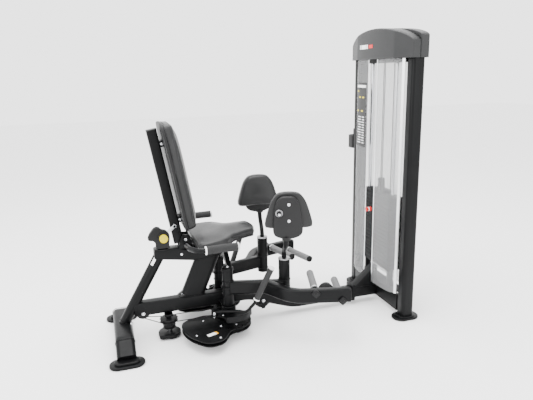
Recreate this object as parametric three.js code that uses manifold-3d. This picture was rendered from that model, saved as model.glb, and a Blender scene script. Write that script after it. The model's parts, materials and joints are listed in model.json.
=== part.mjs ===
// Seated hip abductor machine with an enclosed weight stack.
// Millimetres, +Z up. The origin is on the floor at the middle of the machine's box.
// +X runs from the seat to the weight tower, and the XZ plane is the machine's plane of symmetry.
// "near" is the -Y side and "far" is the +Y side.

import * as THREE from 'three';
import { mergeVertices } from 'three/addons/utils/BufferGeometryUtils.js';
import Module from 'manifold-3d';

const wasm = await Module();
wasm.setup();

// ---------------------------------------------------------------- driving dimensions

const GAP = 0.3;                    // clearance between touching pieces
const TOWER_X = 768;                // middle of the tower uprights
const UPRIGHT = { depth: 73, width: 67, y: 284, top: 1480 };
const SHROUD_BOTTOM = 1420;
const SHROUD_PEAK = 1580;
const STACK = { x: 757, depth: 90, width: 344, bottom: 240, split: 560, top: 668 };
const ROD_SPACING = 130;            // from the middle of the stack to each guide rod
const BEAM = { width: 60, wall: 4, rearBottom: 128, rearTop: 202, frontBottom: 36, frontTop: 103 };
const BEAM_REAR_X = -694;
const BEAM_FRONT_X = 571;
const STABILIZER = { x: -758, width: 94, top: 102, halfSpan: 262 };
const FOOT = { length: 172, width: 96, thick: 12 };
const PIVOT = { x: -208, y: 110, radius: 29, top: 356 };
const ARM_ANGLE = THREE.MathUtils.degToRad(16);
const ARM_TUBE = { bottom: 226, top: 297, width: 49 };
const SLEEVE = { u: 300, radius: 27, bottom: 182, top: 414, bore: 13.2 };
const POST_RADIUS = 12.5;
const PEG = { radius: 19, inner: 102, rearU: 447, frontU: 582, rearZ: 284, frontZ: 240 };
const PAD = { bottom: 594, top: 787, halfWidth: 125 };
const POST = { u: 306, v: 92 };     // middle of the thigh post's upper end
// Both pads are the same part, so the far one faces the other way round, and its post is set further in.
const PAD_SETTING = {
  near: { turn: 0, hand: 1 },
  far: { turn: THREE.MathUtils.degToRad(-22), hand: -1 },
};
const PAD_OFFSET = 16;              // from the post to the middle of the cushion
const PAD_PIN = { offset: 44, z: 690 };
const LEVER_PIVOT = { u: -74, v: 54, z: 140 };
const CAM_LEVEL = { near: 59, far: 95 };   // height of each cam's cable groove
const CABLE_RADIUS = 2.5;
const CABLE_Y = 7;                  // each arm has its own cable, side by side along the machine
const CAM_GROOVE = PIVOT.y - CABLE_Y;      // radius of the cable's middle round the pivot
const RECLINE = THREE.MathUtils.degToRad(9.7);
const BACK_PIVOT = { x: -407, z: 527 };
const STRUT_PIN = { x: -459, z: 604 };
const KNOB = { x: -523, z: 556 };
const HANDLE = { y: 317, z: 553, radius: 12.5, gripRadius: 20 };

const SIDES = { near: -1, far: 1 };

// ---------------------------------------------------------------- pulleys and cable centres

// Each pulley: centre, and the radius at which the cable's middle runs round it.
const PULLEYS = {
  top_pulley: { x: STACK.x + 33, z: 1462, r: 33 },
  tower_base_pulley: { x: STACK.x + 66 - 28, z: 84, r: 28 },
  low_bend_pulley: { x: 408, z: 100, r: 44 },
  high_bend_pulley: { x: 11, z: 112, r: 46 },
  rear_pulley: { x: -651, z: 142, r: 33 },
};
const IDLER = { x: -522, y: -38, lowerR: 31, upperR: 45, guard: 60, guardBottom: 8 };

// ---------------------------------------------------------------- finishes

const finish = (color, roughness, metalness) => new THREE.MeshStandardMaterial({ color, roughness, metalness });
const FRAME = finish(0x2b2c2e, 0.45, 0.6);
const SHROUD = finish(0x6f7173, 0.5, 0.1);
const VINYL = finish(0x3a3b3d, 0.55, 0);
const BOARD = finish(0x77797b, 0.6, 0);
const PLASTIC = finish(0x2a2a2c, 0.55, 0);
const GRIP = finish(0x8b8d8f, 0.8, 0);
const CHROME = finish(0xc9ccd0, 0.2, 1);
const CAST = finish(0x2f3032, 0.7, 0.5);
const CLEAR = finish(0xdfe3e6, 0.25, 0);
const YELLOW = finish(0xf5d000, 0.4, 0);
const RED = finish(0xb01818, 0.4, 0);
const CABLE = finish(0x1c1c1e, 0.4, 0.2);

// ---------------------------------------------------------------- geometry helpers

const v3 = (x, y, z) => new THREE.Vector3(x, y, z);
const group = new THREE.Group();

// Adds one named piece to a parent group.
function piece(name, geometry, material, parent = group) {
  geometry.computeVertexNormals();
  const mesh = new THREE.Mesh(geometry, material);
  mesh.name = name;
  parent.add(mesh);
  return mesh;
}

function toSolid(geometry) {
  const g = geometry.clone();
  g.deleteAttribute('normal');
  g.deleteAttribute('uv');
  const merged = mergeVertices(g, 1e-3);
  return new wasm.Manifold(new wasm.Mesh({
    numProp: 3,
    vertProperties: new Float32Array(merged.attributes.position.array),
    triVerts: new Uint32Array(merged.index.array),
  }));
}

function toGeometry(solid) {
  const mesh = solid.getMesh();
  const g = new THREE.BufferGeometry();
  g.setAttribute('position', new THREE.BufferAttribute(new Float32Array(mesh.vertProperties), 3));
  g.setIndex(new THREE.BufferAttribute(new Uint32Array(mesh.triVerts), 1));
  return g;
}

// Joins the first list of geometries and cuts the second list out of the result.
function build(joined, cut = []) {
  let solid = toSolid(joined[0]);
  for (const g of joined.slice(1)) solid = solid.add(toSolid(g));
  for (const g of cut) solid = solid.subtract(toSolid(g));
  return toGeometry(solid);
}

function box(x0, x1, y0, y1, z0, z1) {
  const g = new THREE.BoxGeometry(x1 - x0, y1 - y0, z1 - z0);
  return g.translate((x0 + x1) / 2, (y0 + y1) / 2, (z0 + z1) / 2);
}

// A cylinder between two points.
function rod(radius, from, to, sides = 16) {
  const axis = to.clone().sub(from);
  const g = new THREE.CylinderGeometry(radius, radius, axis.length(), sides);
  g.applyQuaternion(new THREE.Quaternion().setFromUnitVectors(v3(0, 1, 0), axis.clone().normalize()));
  const middle = from.clone().add(to).multiplyScalar(0.5);
  return g.translate(middle.x, middle.y, middle.z);
}

const shapeOf = (points) => new THREE.Shape(points.map(([x, y]) => new THREE.Vector2(x, y)));

const EXTRUDE = (depth) => ({ depth, bevelEnabled: false, curveSegments: 5 });

// Outline in XZ, extruded along Y.
function plateXZ(shape, y0, y1) {
  return new THREE.ExtrudeGeometry(shape, EXTRUDE(y1 - y0)).rotateX(Math.PI / 2).translate(0, y1, 0);
}

// Outline in YZ, extruded along X.
function plateYZ(shape, x0, x1) {
  const turn = new THREE.Matrix4().makeBasis(v3(0, 1, 0), v3(0, 0, 1), v3(1, 0, 0));
  return new THREE.ExtrudeGeometry(shape, EXTRUDE(x1 - x0)).applyMatrix4(turn).translate(x0, 0, 0);
}

// Outline in XY, extruded along Z.
function plateXY(shape, z0, z1) {
  return new THREE.ExtrudeGeometry(shape, EXTRUDE(z1 - z0)).translate(0, 0, z0);
}

// A rectangle with rounded corners, centred on (cx, cy).
function roundedRect(cx, cy, w, h, r, cornerSteps = 3) {
  const points = [];
  const corners = [[1, -1, -90], [1, 1, 0], [-1, 1, 90], [-1, -1, 180]];
  for (const [sx, sy, start] of corners) {
    for (let i = 0; i <= cornerSteps; i++) {
      const a = THREE.MathUtils.degToRad(start + (90 * i) / cornerSteps);
      points.push([cx + sx * (w / 2 - r) + r * Math.cos(a), cy + sy * (h / 2 - r) + r * Math.sin(a)]);
    }
  }
  return shapeOf(points);
}

// A closed outline through a few points, as one smooth curve.
function smoothShape(points, divisions) {
  const curve = new THREE.SplineCurve([...points, points[0]].map(([x, y]) => new THREE.Vector2(x, y)));
  return new THREE.Shape(curve.getPoints(divisions).slice(0, -1));
}

// A path whose steps fall exactly on its own points, so straight runs cost no extra rings.
class RoutePath extends THREE.Curve {
  constructor(points) {
    super();
    this.points = points;
  }
  at(u) {
    return Math.min(Math.round(u * (this.points.length - 1)), this.points.length - 1);
  }
  getPoint(t) {
    return this.points[this.at(t)].clone();
  }
  getPointAt(u) {
    return this.getPoint(u);
  }
  getTangentAt(u) {
    const i = this.at(u);
    const before = this.points[Math.max(i - 1, 0)];
    const after = this.points[Math.min(i + 1, this.points.length - 1)];
    const into = this.points[i].clone().sub(before).normalize();
    const out = after.clone().sub(this.points[i]).normalize();
    return into.add(out).normalize();
  }
}

// Sweeps a section along a list of points.
function sweep(points, section) {
  return new THREE.ExtrudeGeometry(section, {
    steps: points.length - 1,
    bevelEnabled: false,
    curveSegments: 4,
    extrudePath: new RoutePath(points),
  });
}

function roundSection(radius, sides) {
  const points = [];
  for (let i = 0; i < sides; i++) {
    const a = (2 * Math.PI * i) / sides;
    points.push([radius * Math.cos(a), radius * Math.sin(a)]);
  }
  return shapeOf(points);
}

// Rounds the corners of a list of points: each inner point becomes an arc-like bend.
function bend(points, radius, steps = 3) {
  const route = [points[0].clone()];
  for (let i = 1; i < points.length - 1; i++) {
    const into = points[i - 1].clone().sub(points[i]);
    const out = points[i + 1].clone().sub(points[i]);
    const reach = Math.min(radius, into.length() * 0.45, out.length() * 0.45);
    const a = points[i].clone().add(into.normalize().multiplyScalar(reach));
    const b = points[i].clone().add(out.normalize().multiplyScalar(reach));
    const curve = new THREE.QuadraticBezierCurve3(a, points[i], b);
    for (let k = 0; k <= steps; k++) route.push(curve.getPoint(k / steps));
  }
  route.push(points[points.length - 1].clone());
  return route;
}

function tube(points, radius, bendRadius, sides = 10) {
  return sweep(bend(points, bendRadius), roundSection(radius, sides));
}

// A wheel turned about the Y axis, with a bore and a V groove for each of the two cables.
function wheel({ x, z, r }) {
  const [bore, rim, core, w] = [PIN + 0.6, r + 3, r - 6, 2 * CABLE_Y];
  const profile = [[bore, -w], [rim, -w], [core, -CABLE_Y], [rim, 0], [core, CABLE_Y], [rim, w], [bore, w],
    [bore, -w]];
  const g = new THREE.LatheGeometry(profile.map(([a, b]) => new THREE.Vector2(a, b)), 18);
  return g.translate(x, 0, z);
}

// ---------------------------------------------------------------- base frame

// Side view of the main beam: level at the back, down through one S bend, level at the front.
function beamOutline(inset) {
  const top = (z) => z - inset;
  const bottom = (z) => z + inset;
  const upper = bend([v3(BEAM_REAR_X - 1, 0, top(BEAM.rearTop)), v3(-40, 0, top(BEAM.rearTop)),
    v3(205, 0, top(BEAM.frontTop)), v3(BEAM_FRONT_X + 1, 0, top(BEAM.frontTop))], 70);
  const lower = bend([v3(BEAM_FRONT_X + 1, 0, bottom(BEAM.frontBottom)), v3(190, 0, bottom(BEAM.frontBottom)),
    v3(-60, 0, bottom(BEAM.rearBottom)), v3(BEAM_REAR_X - 1, 0, bottom(BEAM.rearBottom))], 70);
  return shapeOf([...upper, ...lower].map((p) => [p.x, p.z]));
}

const half = BEAM.width / 2;
const hollowHalf = half - BEAM.wall;
const PIN = 8;

function beam() {
  const tubeBody = plateXZ(beamOutline(0), -half, half);
  const hollow = plateXZ(beamOutline(BEAM.wall), -hollowHalf, hollowHalf);
  const body = toSolid(tubeBody)
    .subtract(toSolid(hollow))
    .subtract(toSolid(box(BEAM_REAR_X - 20, BEAM_REAR_X, -half - 1, half + 1, 100, 230)))
    .subtract(toSolid(box(BEAM_FRONT_X, BEAM_FRONT_X + 20, -half - 1, half + 1, 0, 130)))
    .subtract(toSolid(box(60, 462, -17, 17, 70, 160)))
    .subtract(toSolid(box(-46, 68, -17, 17, 60, 142)))
    .subtract(toSolid(box(BEAM_REAR_X - 1, -606, -17, 17, 110, 142)));
  // Pins that carry the pulleys run right across the tube, and the pivot plates hang from its sides.
  const pins = ['low_bend_pulley', 'high_bend_pulley', 'rear_pulley']
    .map((name) => PULLEYS[name])
    .map(({ x, z }) => rod(PIN, v3(x, -hollowHalf - 2, z), v3(x, hollowHalf + 2, z), 16));
  const cheek = (x, z, r, y0, y1) => plateXZ(shapeOf([[x - r, z + 34], [x - r, z - 4], [x - 8, z - r],
    [x + 8, z - r], [x + r, z - 4], [x + r, z + 34]]), y0, y1);
  const cheeks = [];
  for (const y of [-hollowHalf - 2, hollowHalf - 2]) cheeks.push(cheek(11, 112, 26, y, y + 4));
  const plate = plateXY(roundedRect(PIVOT.x, 0, 70, 2 * PIVOT.y + 84, 30), 150, 162);
  const plateCut = [box(PIVOT.x - 60, PIVOT.x + 60, -hollowHalf, hollowHalf, 140, 170)];
  const bores = Object.values(SIDES).map((s) => rod(PIVOT.radius + 0.6, v3(PIVOT.x, s * PIVOT.y, 140),
    v3(PIVOT.x, s * PIVOT.y, 170), 24));
  const plates = toSolid(build([plate], [...plateCut, ...bores]));
  let whole = body.add(plates);
  for (const g of [...pins, ...cheeks]) whole = whole.add(toSolid(g));
  return toGeometry(whole);
}
piece('base_beam', beam(), FRAME);

// Rear stabilizer: a flat tube bent down to an oval foot plate at each end.
function stabilizer() {
  const { x, width, top, halfSpan } = STABILIZER;
  const outer = (s) => [[s * 172, top], [s * 190, top - 5], [s * halfSpan, 30], [s * halfSpan, FOOT.thick]];
  const under = (s) => [[s * 218, FOOT.thick], [s * 160, top - 50], [s * 150, top - 54]];
  const points = [...outer(-1), ...under(-1), ...under(1).reverse(), ...outer(1).reverse()];
  const bar = plateYZ(shapeOf(points), x - width / 2, x + width / 2);
  const feet = Object.values(SIDES).map((s) => plateXY(roundedRect(x, s * 266, FOOT.length, FOOT.width, 46),
    0, FOOT.thick + 0.5));
  return build([bar, ...feet]);
}
piece('rear_stabilizer', stabilizer(), FRAME);

// Rear leg: a round tube that leans forward from the stabilizer to the back of the seat rail.
const LEG = { bottom: v3(-751, 0, 88), top: v3(-535, 0, 472), radius: 29 };
piece('rear_leg_tube', build([rod(LEG.radius, LEG.bottom, LEG.top)], [
  box(-900, -600, -60, 60, 0, STABILIZER.top + GAP),
  box(BEAM_REAR_X - GAP, -600, -half - 2, half + 2, 100, BEAM.rearTop + 2),
  box(-600, -400, -60, 60, 428.4, 600),
]), FRAME);

// Seat frame: a leaning post with a rail on top, which carries the seat and the ears of the back pivot.
const RAIL = { y: 32 };
function seatFrame() {
  const post = shapeOf([[-455, BEAM.rearTop + GAP], [-318, BEAM.rearTop + GAP], [-214, 428], [-350, 428]]);
  const rail = shapeOf([[-556, 434], [-372, 404.6], [-243, 410.6], [-212, 425], [-250, 466],
    [-380, 478], [-386, 508], [-440, 512], [-452, 484], [-556, 487]]);
  const ear = shapeOf([[-440, 480], [-376, 470], [-384, 545], [-402, 550], [-425, 545]]);
  const slotForTube = box(-460, -360, -22, 22, 483, 560);
  const groove = box(-362, -332, -40, 40, 467, 500);
  const frame = build([plateXZ(post, -28, 28), plateXZ(rail, -RAIL.y, RAIL.y), plateXZ(ear, -RAIL.y, RAIL.y)],
    [slotForTube, groove]);
  const boltEnd = (s) => v3(BACK_PIVOT.x, s * (RAIL.y + 5), BACK_PIVOT.z);
  const bolt = rod(6, boltEnd(-1), boltEnd(1), 12);
  return build([frame, bolt]);
}
piece('seat_frame', seatFrame(), FRAME);

// Pivot yoke: two arms that spread down from the front of the seat rail to the tops of the pivots.
function yoke() {
  const parts = [];
  for (const s of [-1, 1]) {
    const arm = shapeOf([[0, 425], [0, 392], [s * 96, 357], [s * 122, 357], [s * 122, 373], [s * 100, 373],
      [s * 26, 432]]);
    parts.push(plateYZ(arm, PIVOT.x + 0.5, PIVOT.x + 26));
    parts.push(rod(28, v3(PIVOT.x, s * PIVOT.y, PIVOT.top + GAP), v3(PIVOT.x, s * PIVOT.y, 373), 20));
    parts.push(rod(12, v3(PIVOT.x, s * PIVOT.y, 318), v3(PIVOT.x, s * PIVOT.y, PIVOT.top + 4), 14));
  }
  parts.push(box(PIVOT.x - 3, PIVOT.x + 26, -30, 30, 426, 432));
  return build(parts, [box(-300, -211.7, -60, 60, 380, 440)]);
}
piece('pivot_yoke', yoke(), FRAME);

// ---------------------------------------------------------------- seat

const TILT = THREE.MathUtils.degToRad(4);
const seat = new THREE.Group();
seat.position.set(-375, 0, 490);
seat.rotation.y = -TILT;
group.add(seat);

const seatPlan = (grow) => smoothShape([[-2 - grow, 0], [-grow, -150], [14, -197 - grow], [90, -203 - grow],
  [168, -176 - grow], [222, -118 - grow], [290, -96 - grow], [336 + grow, -80], [352 + grow, 0],
  [336 + grow, 80], [290, 96 + grow], [222, 118 + grow], [168, 176 + grow], [90, 203 + grow],
  [14, 197 + grow], [-grow, 150]], 24);
piece('seat_board', plateXY(seatPlan(-14), 5, 17), BOARD, seat);
const cushionBody = build([plateXY(seatPlan(0), 17.5, 52), plateXY(seatPlan(-12), 50, 66)]);
piece('seat_cushion', cushionBody, VINYL, seat);

// One bent tube makes both side handles and crosses the rail under the back of the seat.
const CROSSING = { x: -345, z: 480 };
const handleHalf = (s) => [v3(-192, s * HANDLE.y, HANDLE.z), v3(-392, s * HANDLE.y, HANDLE.z - 2),
  v3(-420, s * 250, HANDLE.z - 6), v3(-418, s * 120, 522), v3(-392, s * 74, CROSSING.z + 2),
  v3(CROSSING.x, s * 44, CROSSING.z)];
const handleRoute = bend([...handleHalf(-1), ...handleHalf(1).reverse()], 40, 2);
piece('handle_bar', sweep(handleRoute, roundSection(HANDLE.radius, 8)), FRAME);
for (const [name, s] of Object.entries(SIDES)) {
  const at = (x, drop) => v3(x, s * HANDLE.y, HANDLE.z - drop);
  piece(`handle_grip_${name}`, build([rod(HANDLE.gripRadius, at(-352, 1.6), at(-191.5, 0), 16)],
    [rod(HANDLE.radius + 0.8, at(-362, 1.7), at(-186, -0.06), 12)]), GRIP);
}

// ---------------------------------------------------------------- backrest

// The backrest is drawn upright about its pivot, then leaned back as one group.
const back = new THREE.Group();
back.position.set(BACK_PIVOT.x, 0, BACK_PIVOT.z);
back.rotation.y = -RECLINE;
group.add(back);

const tubeBody = build([plateXY(roundedRect(-34, 0, 52, 40, 10), -14, 592), box(-40, 12, -18, 18, -14, 12),
  rod(15, v3(0, -18, 0), v3(0, 18, 0), 20),
  box(-9, 4, -30, 30, 96, 128), box(-9, 4, -30, 30, 496, 528)],
[rod(6.6, v3(0, -40, 0), v3(0, 40, 0), 12)]);
piece('back_tube', tubeBody, FRAME, back);

const backOutline = (grow) => {
  const s = new THREE.Shape();
  const w = 146 + grow;
  s.moveTo(-w + 22, 62 - grow);
  s.lineTo(w - 22, 62 - grow);
  s.quadraticCurveTo(w, 62 - grow, w, 90);
  s.lineTo(w + 6, 420);
  s.quadraticCurveTo(w + 2, 560, w - 60, 622 + grow);
  s.lineTo(-w + 60, 622 + grow);
  s.quadraticCurveTo(-w - 2, 560, -w - 6, 420);
  s.lineTo(-w, 90);
  s.quadraticCurveTo(-w, 62 - grow, -w + 22, 62 - grow);
  return s;
};
piece('back_board', plateYZ(backOutline(-6), 4.5, 18), BOARD, back);
const backBody = build([plateYZ(backOutline(0), 18.5, 62), plateYZ(backOutline(-14), 60, 78)]);
piece('back_cushion', backBody, VINYL, back);

// Recline strut: a bar from the back tube down through the housing, with holes for the pop-pin.
const strutAngle = Math.atan2(STRUT_PIN.z - KNOB.z, STRUT_PIN.x - KNOB.x);
const strut = new THREE.Group();
strut.position.set(STRUT_PIN.x, 0, STRUT_PIN.z);
strut.rotation.y = -strutAngle;
group.add(strut);
const strutBar = build([box(-130, 8, -34.5, -28.5, -8, 8), rod(10, v3(0, -34.5, 0), v3(0, -21, 0), 14)],
  [80, 66, 52].map((d) => rod(4.5, v3(-d, -40, 0), v3(-d, -20, 0), 10)));
piece('recline_strut', strutBar, CHROME, strut);

// Housing: two cheeks on the rail with a slot between them for the strut.
function reclineHousing() {
  const side = new THREE.Shape();
  side.moveTo(-556, 487.5);
  side.lineTo(-498, 487.5);
  side.lineTo(-490, 540);
  side.absarc(KNOB.x, KNOB.z, 34, -0.3, 0.9);
  side.lineTo(-540, 606);
  side.quadraticCurveTo(-556, 612, -572, 596);
  side.quadraticCurveTo(-596, 574, -599, 553);
  side.quadraticCurveTo(-598, 544, -572, 538);
  const cheeks = [plateXZ(side, -48, -38), plateXZ(side, -24, -20.6)];
  const floor = box(-556, -500, -48, -20.6, 487.5, 500);
  const web = box(-594, -560, -48, -20.6, 546, 556);
  return build([...cheeks, floor, web], [rod(6.2, v3(KNOB.x, -60, KNOB.z), v3(KNOB.x, 10, KNOB.z), 12),
    box(-572, -480, -38, -24, 500, 620)]);
}
piece('recline_housing', reclineHousing(), PLASTIC);
const knob = build([rod(21, v3(KNOB.x, -84, KNOB.z), v3(KNOB.x, -62, KNOB.z), 20),
  rod(9, v3(KNOB.x, -64, KNOB.z), v3(KNOB.x, -49, KNOB.z), 14),
  rod(5.6, v3(KNOB.x, -52, KNOB.z), v3(KNOB.x, -36.5, KNOB.z), 10)]);
piece('recline_knob', knob, YELLOW);

// ---------------------------------------------------------------- leg arms (one on each side)

// The outline of each cam plate, about its pivot: a round boss with a D-shaped wing behind it.
const CAM_WING = [[10, -112], [-24, -128], [-68, -192], [-110, -214], [-160, -210], [-205, -160], [-240, -100],
  [-258, -30], [-254, 20], [-230, 58], [-185, 80], [-125, 92], [-60, 100]];

function camSolid(s, level) {
  const wing = shapeOf(CAM_WING.map(([x, y]) => [x, -s * y]));
  const layers = [];
  for (const [z0, z1] of [[level - 13, level - 7], [level + 7, level + 13]]) {
    layers.push(rod(117, v3(0, 0, z0), v3(0, 0, z1), 24));
    layers.push(plateXY(wing, z0, z1));
  }
  layers.push(rod(CAM_GROOVE - CABLE_RADIUS - 0.6, v3(0, 0, level - 8), v3(0, 0, level + 8), 24));
  const spacers = [[-200, -120], [-90, -180]].map(([x, y]) => rod(9, v3(x, -s * y, level - 8),
    v3(x, -s * y, level + 8), 8));
  return build([...layers, ...spacers], [rod(24.6, v3(0, 0, level - 20), v3(0, 0, level + 20))]);
}

function legArm(s, level) {
  const { bottom, top, width } = ARM_TUBE;
  const straight = roundedTube(20, SLEEVE.u - 12, s * 10 - width / 2, s * 10 + width / 2, bottom, top);
  const route = bend([v3(170, s * 10, 0), v3(204, s * 10, 0), v3(332, s * 147, 0), v3(625, s * 147, 0)], 60, 5)
    .map((p) => p.setZ((bottom + top) / 2));
  const curved = sweep(route, roundedRect(0, 0, top - bottom, width, 14, 2));
  const column = [
    rod(PIVOT.radius, v3(0, 0, 110), v3(0, 0, PIVOT.top)),
    rod(24, v3(0, 0, level - 13), v3(0, 0, 112)),
    rod(36, v3(0, 0, 262), v3(0, 0, 270), 20),
  ];
  const sleeve = rod(SLEEVE.radius, v3(SLEEVE.u, 0, SLEEVE.bottom), v3(SLEEVE.u, 0, SLEEVE.top));
  const pegHoles = [[PEG.rearU, PEG.rearZ], [PEG.frontU, PEG.frontZ]].map(([u, z]) =>
    rod(8.4, v3(u, s * 110, z), v3(u, s * 180, z), 12));
  return build([...column, straight, curved, sleeve], [
    rod(SLEEVE.bore, v3(SLEEVE.u, 0, 250), v3(SLEEVE.u, 0, SLEEVE.top + 5), 14),
    rod(12.6, v3(0, 0, 314), v3(0, 0, PIVOT.top + 5), 14),
    ...pegHoles,
  ]);
}

// A straight rectangular tube along X with rounded edges.
function roundedTube(x0, x1, y0, y1, z0, z1) {
  return plateYZ(roundedRect((y0 + y1) / 2, (z0 + z1) / 2, y1 - y0, z1 - z0, 14, 2), x0, x1);
}

// A foot peg with a square bolt head outside the arm tube.
function footPeg(s, u, z) {
  const face = 147 - ARM_TUBE.width / 2 - GAP;
  const outside = 147 + ARM_TUBE.width / 2 + GAP;
  const head = new THREE.BoxGeometry(30, 12, 30).rotateY(Math.PI / 4).translate(u, s * (outside + 6), z);
  return build([rod(PEG.radius, v3(u, -s * PEG.inner, z), v3(u, s * face, z)),
    rod(8, v3(u, s * (face - 2), z), v3(u, s * (outside + 2), z), 10), head]);
}

function thighPost(s) {
  const { u, v } = POST;
  const route = [v3(SLEEVE.u, 0, 252), v3(SLEEVE.u, 0, 452), v3(u, s * v, 516), v3(u, s * v, 640)];
  return tube(route, POST_RADIUS, 34, 12);
}

// The cover is a shield-shaped shell with a tongue that takes the post.
function thighCover(s, hand) {
  const { u, v } = POST;
  const outline = smoothShape([[-66, 640], [-62, 690], [-50, 740], [-30, 764], [0, 768], [30, 764], [50, 740],
    [62, 690], [68, 640], [70, 590], [58, 566], [30, 553], [0, 550], [-30, 553], [-58, 566], [-68, 590]], 18);
  const y = [s * 77, s * 108].sort((a, b) => a - b);
  const shell = plateXZ(outline, y[0], y[1]).translate(u, 0, 0);
  const boss = rod(19, v3(u, s * v, 552), v3(u, s * v, 650), 18);
  const pinU = u - hand * PAD_PIN.offset;
  return build([shell, boss], [rod(POST_RADIUS + 0.6, v3(u, s * v, 540), v3(u, s * v, 640.6), 16),
    rod(5.6, v3(pinU, s * 120, PAD_PIN.z), v3(pinU, s * 88, PAD_PIN.z), 10),
    rod(20, v3(u, s * v, 500), v3(u, s * v, 551.5), 12)]);
}

function padOutline(grow) {
  const h = PAD.halfWidth + grow;
  const [b, t] = [PAD.bottom - grow, PAD.top + grow];
  return smoothShape([[-h + 18, b + 2], [0, b], [h - 18, b + 2], [h, b + 22], [h - 8, b + 62], [h - 36, t - 40],
    [h - 66, t - 6], [0, t], [-h + 66, t - 6], [-h + 36, t - 40], [-h + 8, b + 62], [-h, b + 22]], 20);
}

function thighCushion(s, hand) {
  const layer = (grow, a, b) => {
    const y = [s * a, s * b].sort((p, q) => p - q);
    return plateXZ(padOutline(grow), y[0], y[1]).translate(POST.u + hand * PAD_OFFSET, 0, 0);
  };
  return build([layer(0, 30, 72.5), layer(-12, 14, 32)]);
}

function thighPin(s, hand) {
  const at = (v) => v3(POST.u - hand * PAD_PIN.offset, s * v, PAD_PIN.z);
  return build([rod(11, at(120), at(134), 14), rod(5, at(90), at(122), 10)]);
}

// Range selector: a base plate round the column with a pointed plate behind it and a curved guard wall.
const BRACKET_Z = 112;
const GUARD = {
  inner: 117, outer: 124, top: 143, from: THREE.MathUtils.degToRad(12), to: THREE.MathUtils.degToRad(93),
};
function sectorPoints(radius, from, to, steps) {
  const points = [];
  for (let i = 0; i <= steps; i++) {
    const a = from + ((to - from) * i) / steps;
    points.push([radius * Math.cos(a), radius * Math.sin(a)]);
  }
  return points;
}
function rangeBracket(s, z) {
  const mirrored = (points) => shapeOf(points.map(([x, y]) => [x, s * y]));
  const { inner, outer, top, from, to } = GUARD;
  const plate = mirrored([[-92, -10], [-40, -38], [60, -20], ...sectorPoints(outer, from, to, 6), [-20, 66],
    [-92, 43]]);
  const wall = mirrored([...sectorPoints(outer, from, to, 6), ...sectorPoints(inner, to, from, 6)]);
  const ear = shapeOf([[-92, z + 2], [-92, 150], [-80, 162], [-70, 184], [-60, 162], [-56, z + 2]]);
  const earFaces = [s * 36, s * 43].sort((a, b) => a - b);
  const { u, v, z: pivotZ } = LEVER_PIVOT;
  return build([plateXY(plate, z, z + 6), plateXY(wall, z, top), plateXZ(ear, ...earFaces)],
    [rod(PIVOT.radius + 0.8, v3(0, 0, z - 5), v3(0, 0, z + 20)),
      rod(6.6, v3(u, s * (v - 30), pivotZ), v3(u, s * (v + 10), pivotZ), 10)]);
}

function rangeLever(s) {
  const { u, v, z } = LEVER_PIVOT;
  const route = [v3(u, s * v, z), v3(-40, s * 58, 146), v3(20, s * 72, 152), v3(96, s * 92, 157),
    v3(138, s * 112, 214), v3(228, s * 128, 408)];
  const pivot = rod(6, v3(u, s * (v - 24), z), v3(u, s * (v + 12), z), 12);
  const grip = rod(15.5, v3(150, s * 114.1, 238), v3(231, s * 128.5, 414.5), 12);
  return build([tube(route, 9, 30, 8), pivot, grip]);
}

for (const [name, s] of Object.entries(SIDES)) {
  const level = CAM_LEVEL[name];
  const pivot = new THREE.Group();
  pivot.position.set(PIVOT.x, s * PIVOT.y, 0);
  group.add(pivot);
  piece(`cable_cam_${name}`, camSolid(s, level), FRAME, pivot);
  const arm = new THREE.Group();
  arm.rotation.z = s * ARM_ANGLE;
  pivot.add(arm);
  piece(`leg_arm_${name}`, legArm(s, level), FRAME, arm);
  piece(`rear_foot_peg_${name}`, footPeg(s, PEG.rearU, PEG.rearZ), GRIP, arm);
  piece(`front_foot_peg_${name}`, footPeg(s, PEG.frontU, PEG.frontZ), GRIP, arm);
  piece(`range_bracket_${name}`, rangeBracket(s, BRACKET_Z), FRAME, arm);
  piece(`range_lever_${name}`, rangeLever(s), FRAME, arm);
  // The post is set in its sleeve at its own angle, and the pad goes with it.
  const { turn, hand } = PAD_SETTING[name];
  const sleeve = new THREE.Group();
  sleeve.position.set(SLEEVE.u, 0, 0);
  sleeve.rotation.z = turn;
  arm.add(sleeve);
  const pad = new THREE.Group();
  pad.position.set(-SLEEVE.u, 0, 0);
  sleeve.add(pad);
  piece(`thigh_post_${name}`, thighPost(s), CHROME, pad);
  piece(`thigh_cover_${name}`, thighCover(s, hand), PLASTIC, pad);
  piece(`thigh_cushion_${name}`, thighCushion(s, hand), VINYL, pad);
  piece(`thigh_pin_${name}`, thighPin(s, hand), CHROME, pad);
}

// ---------------------------------------------------------------- weight tower

const front = TOWER_X - UPRIGHT.depth / 2;
const rear = TOWER_X + UPRIGHT.depth / 2;
for (const [name, s] of Object.entries(SIDES)) {
  const section = roundedRect(TOWER_X, s * UPRIGHT.y, UPRIGHT.depth, UPRIGHT.width, 20);
  const hollow = roundedRect(TOWER_X, s * UPRIGHT.y, UPRIGHT.depth - 7, UPRIGHT.width - 7, 17);
  const foot = roundedRect(TOWER_X, s * UPRIGHT.y, 152, 104, 50);
  piece(`tower_upright_${name}`, build([plateXY(section, 8, UPRIGHT.top), plateXY(foot, 0, FOOT.thick)],
    [plateXY(hollow, 20, UPRIGHT.top + 5)]), FRAME);
}

const inside = UPRIGHT.y - UPRIGHT.width / 2 - GAP;

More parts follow.
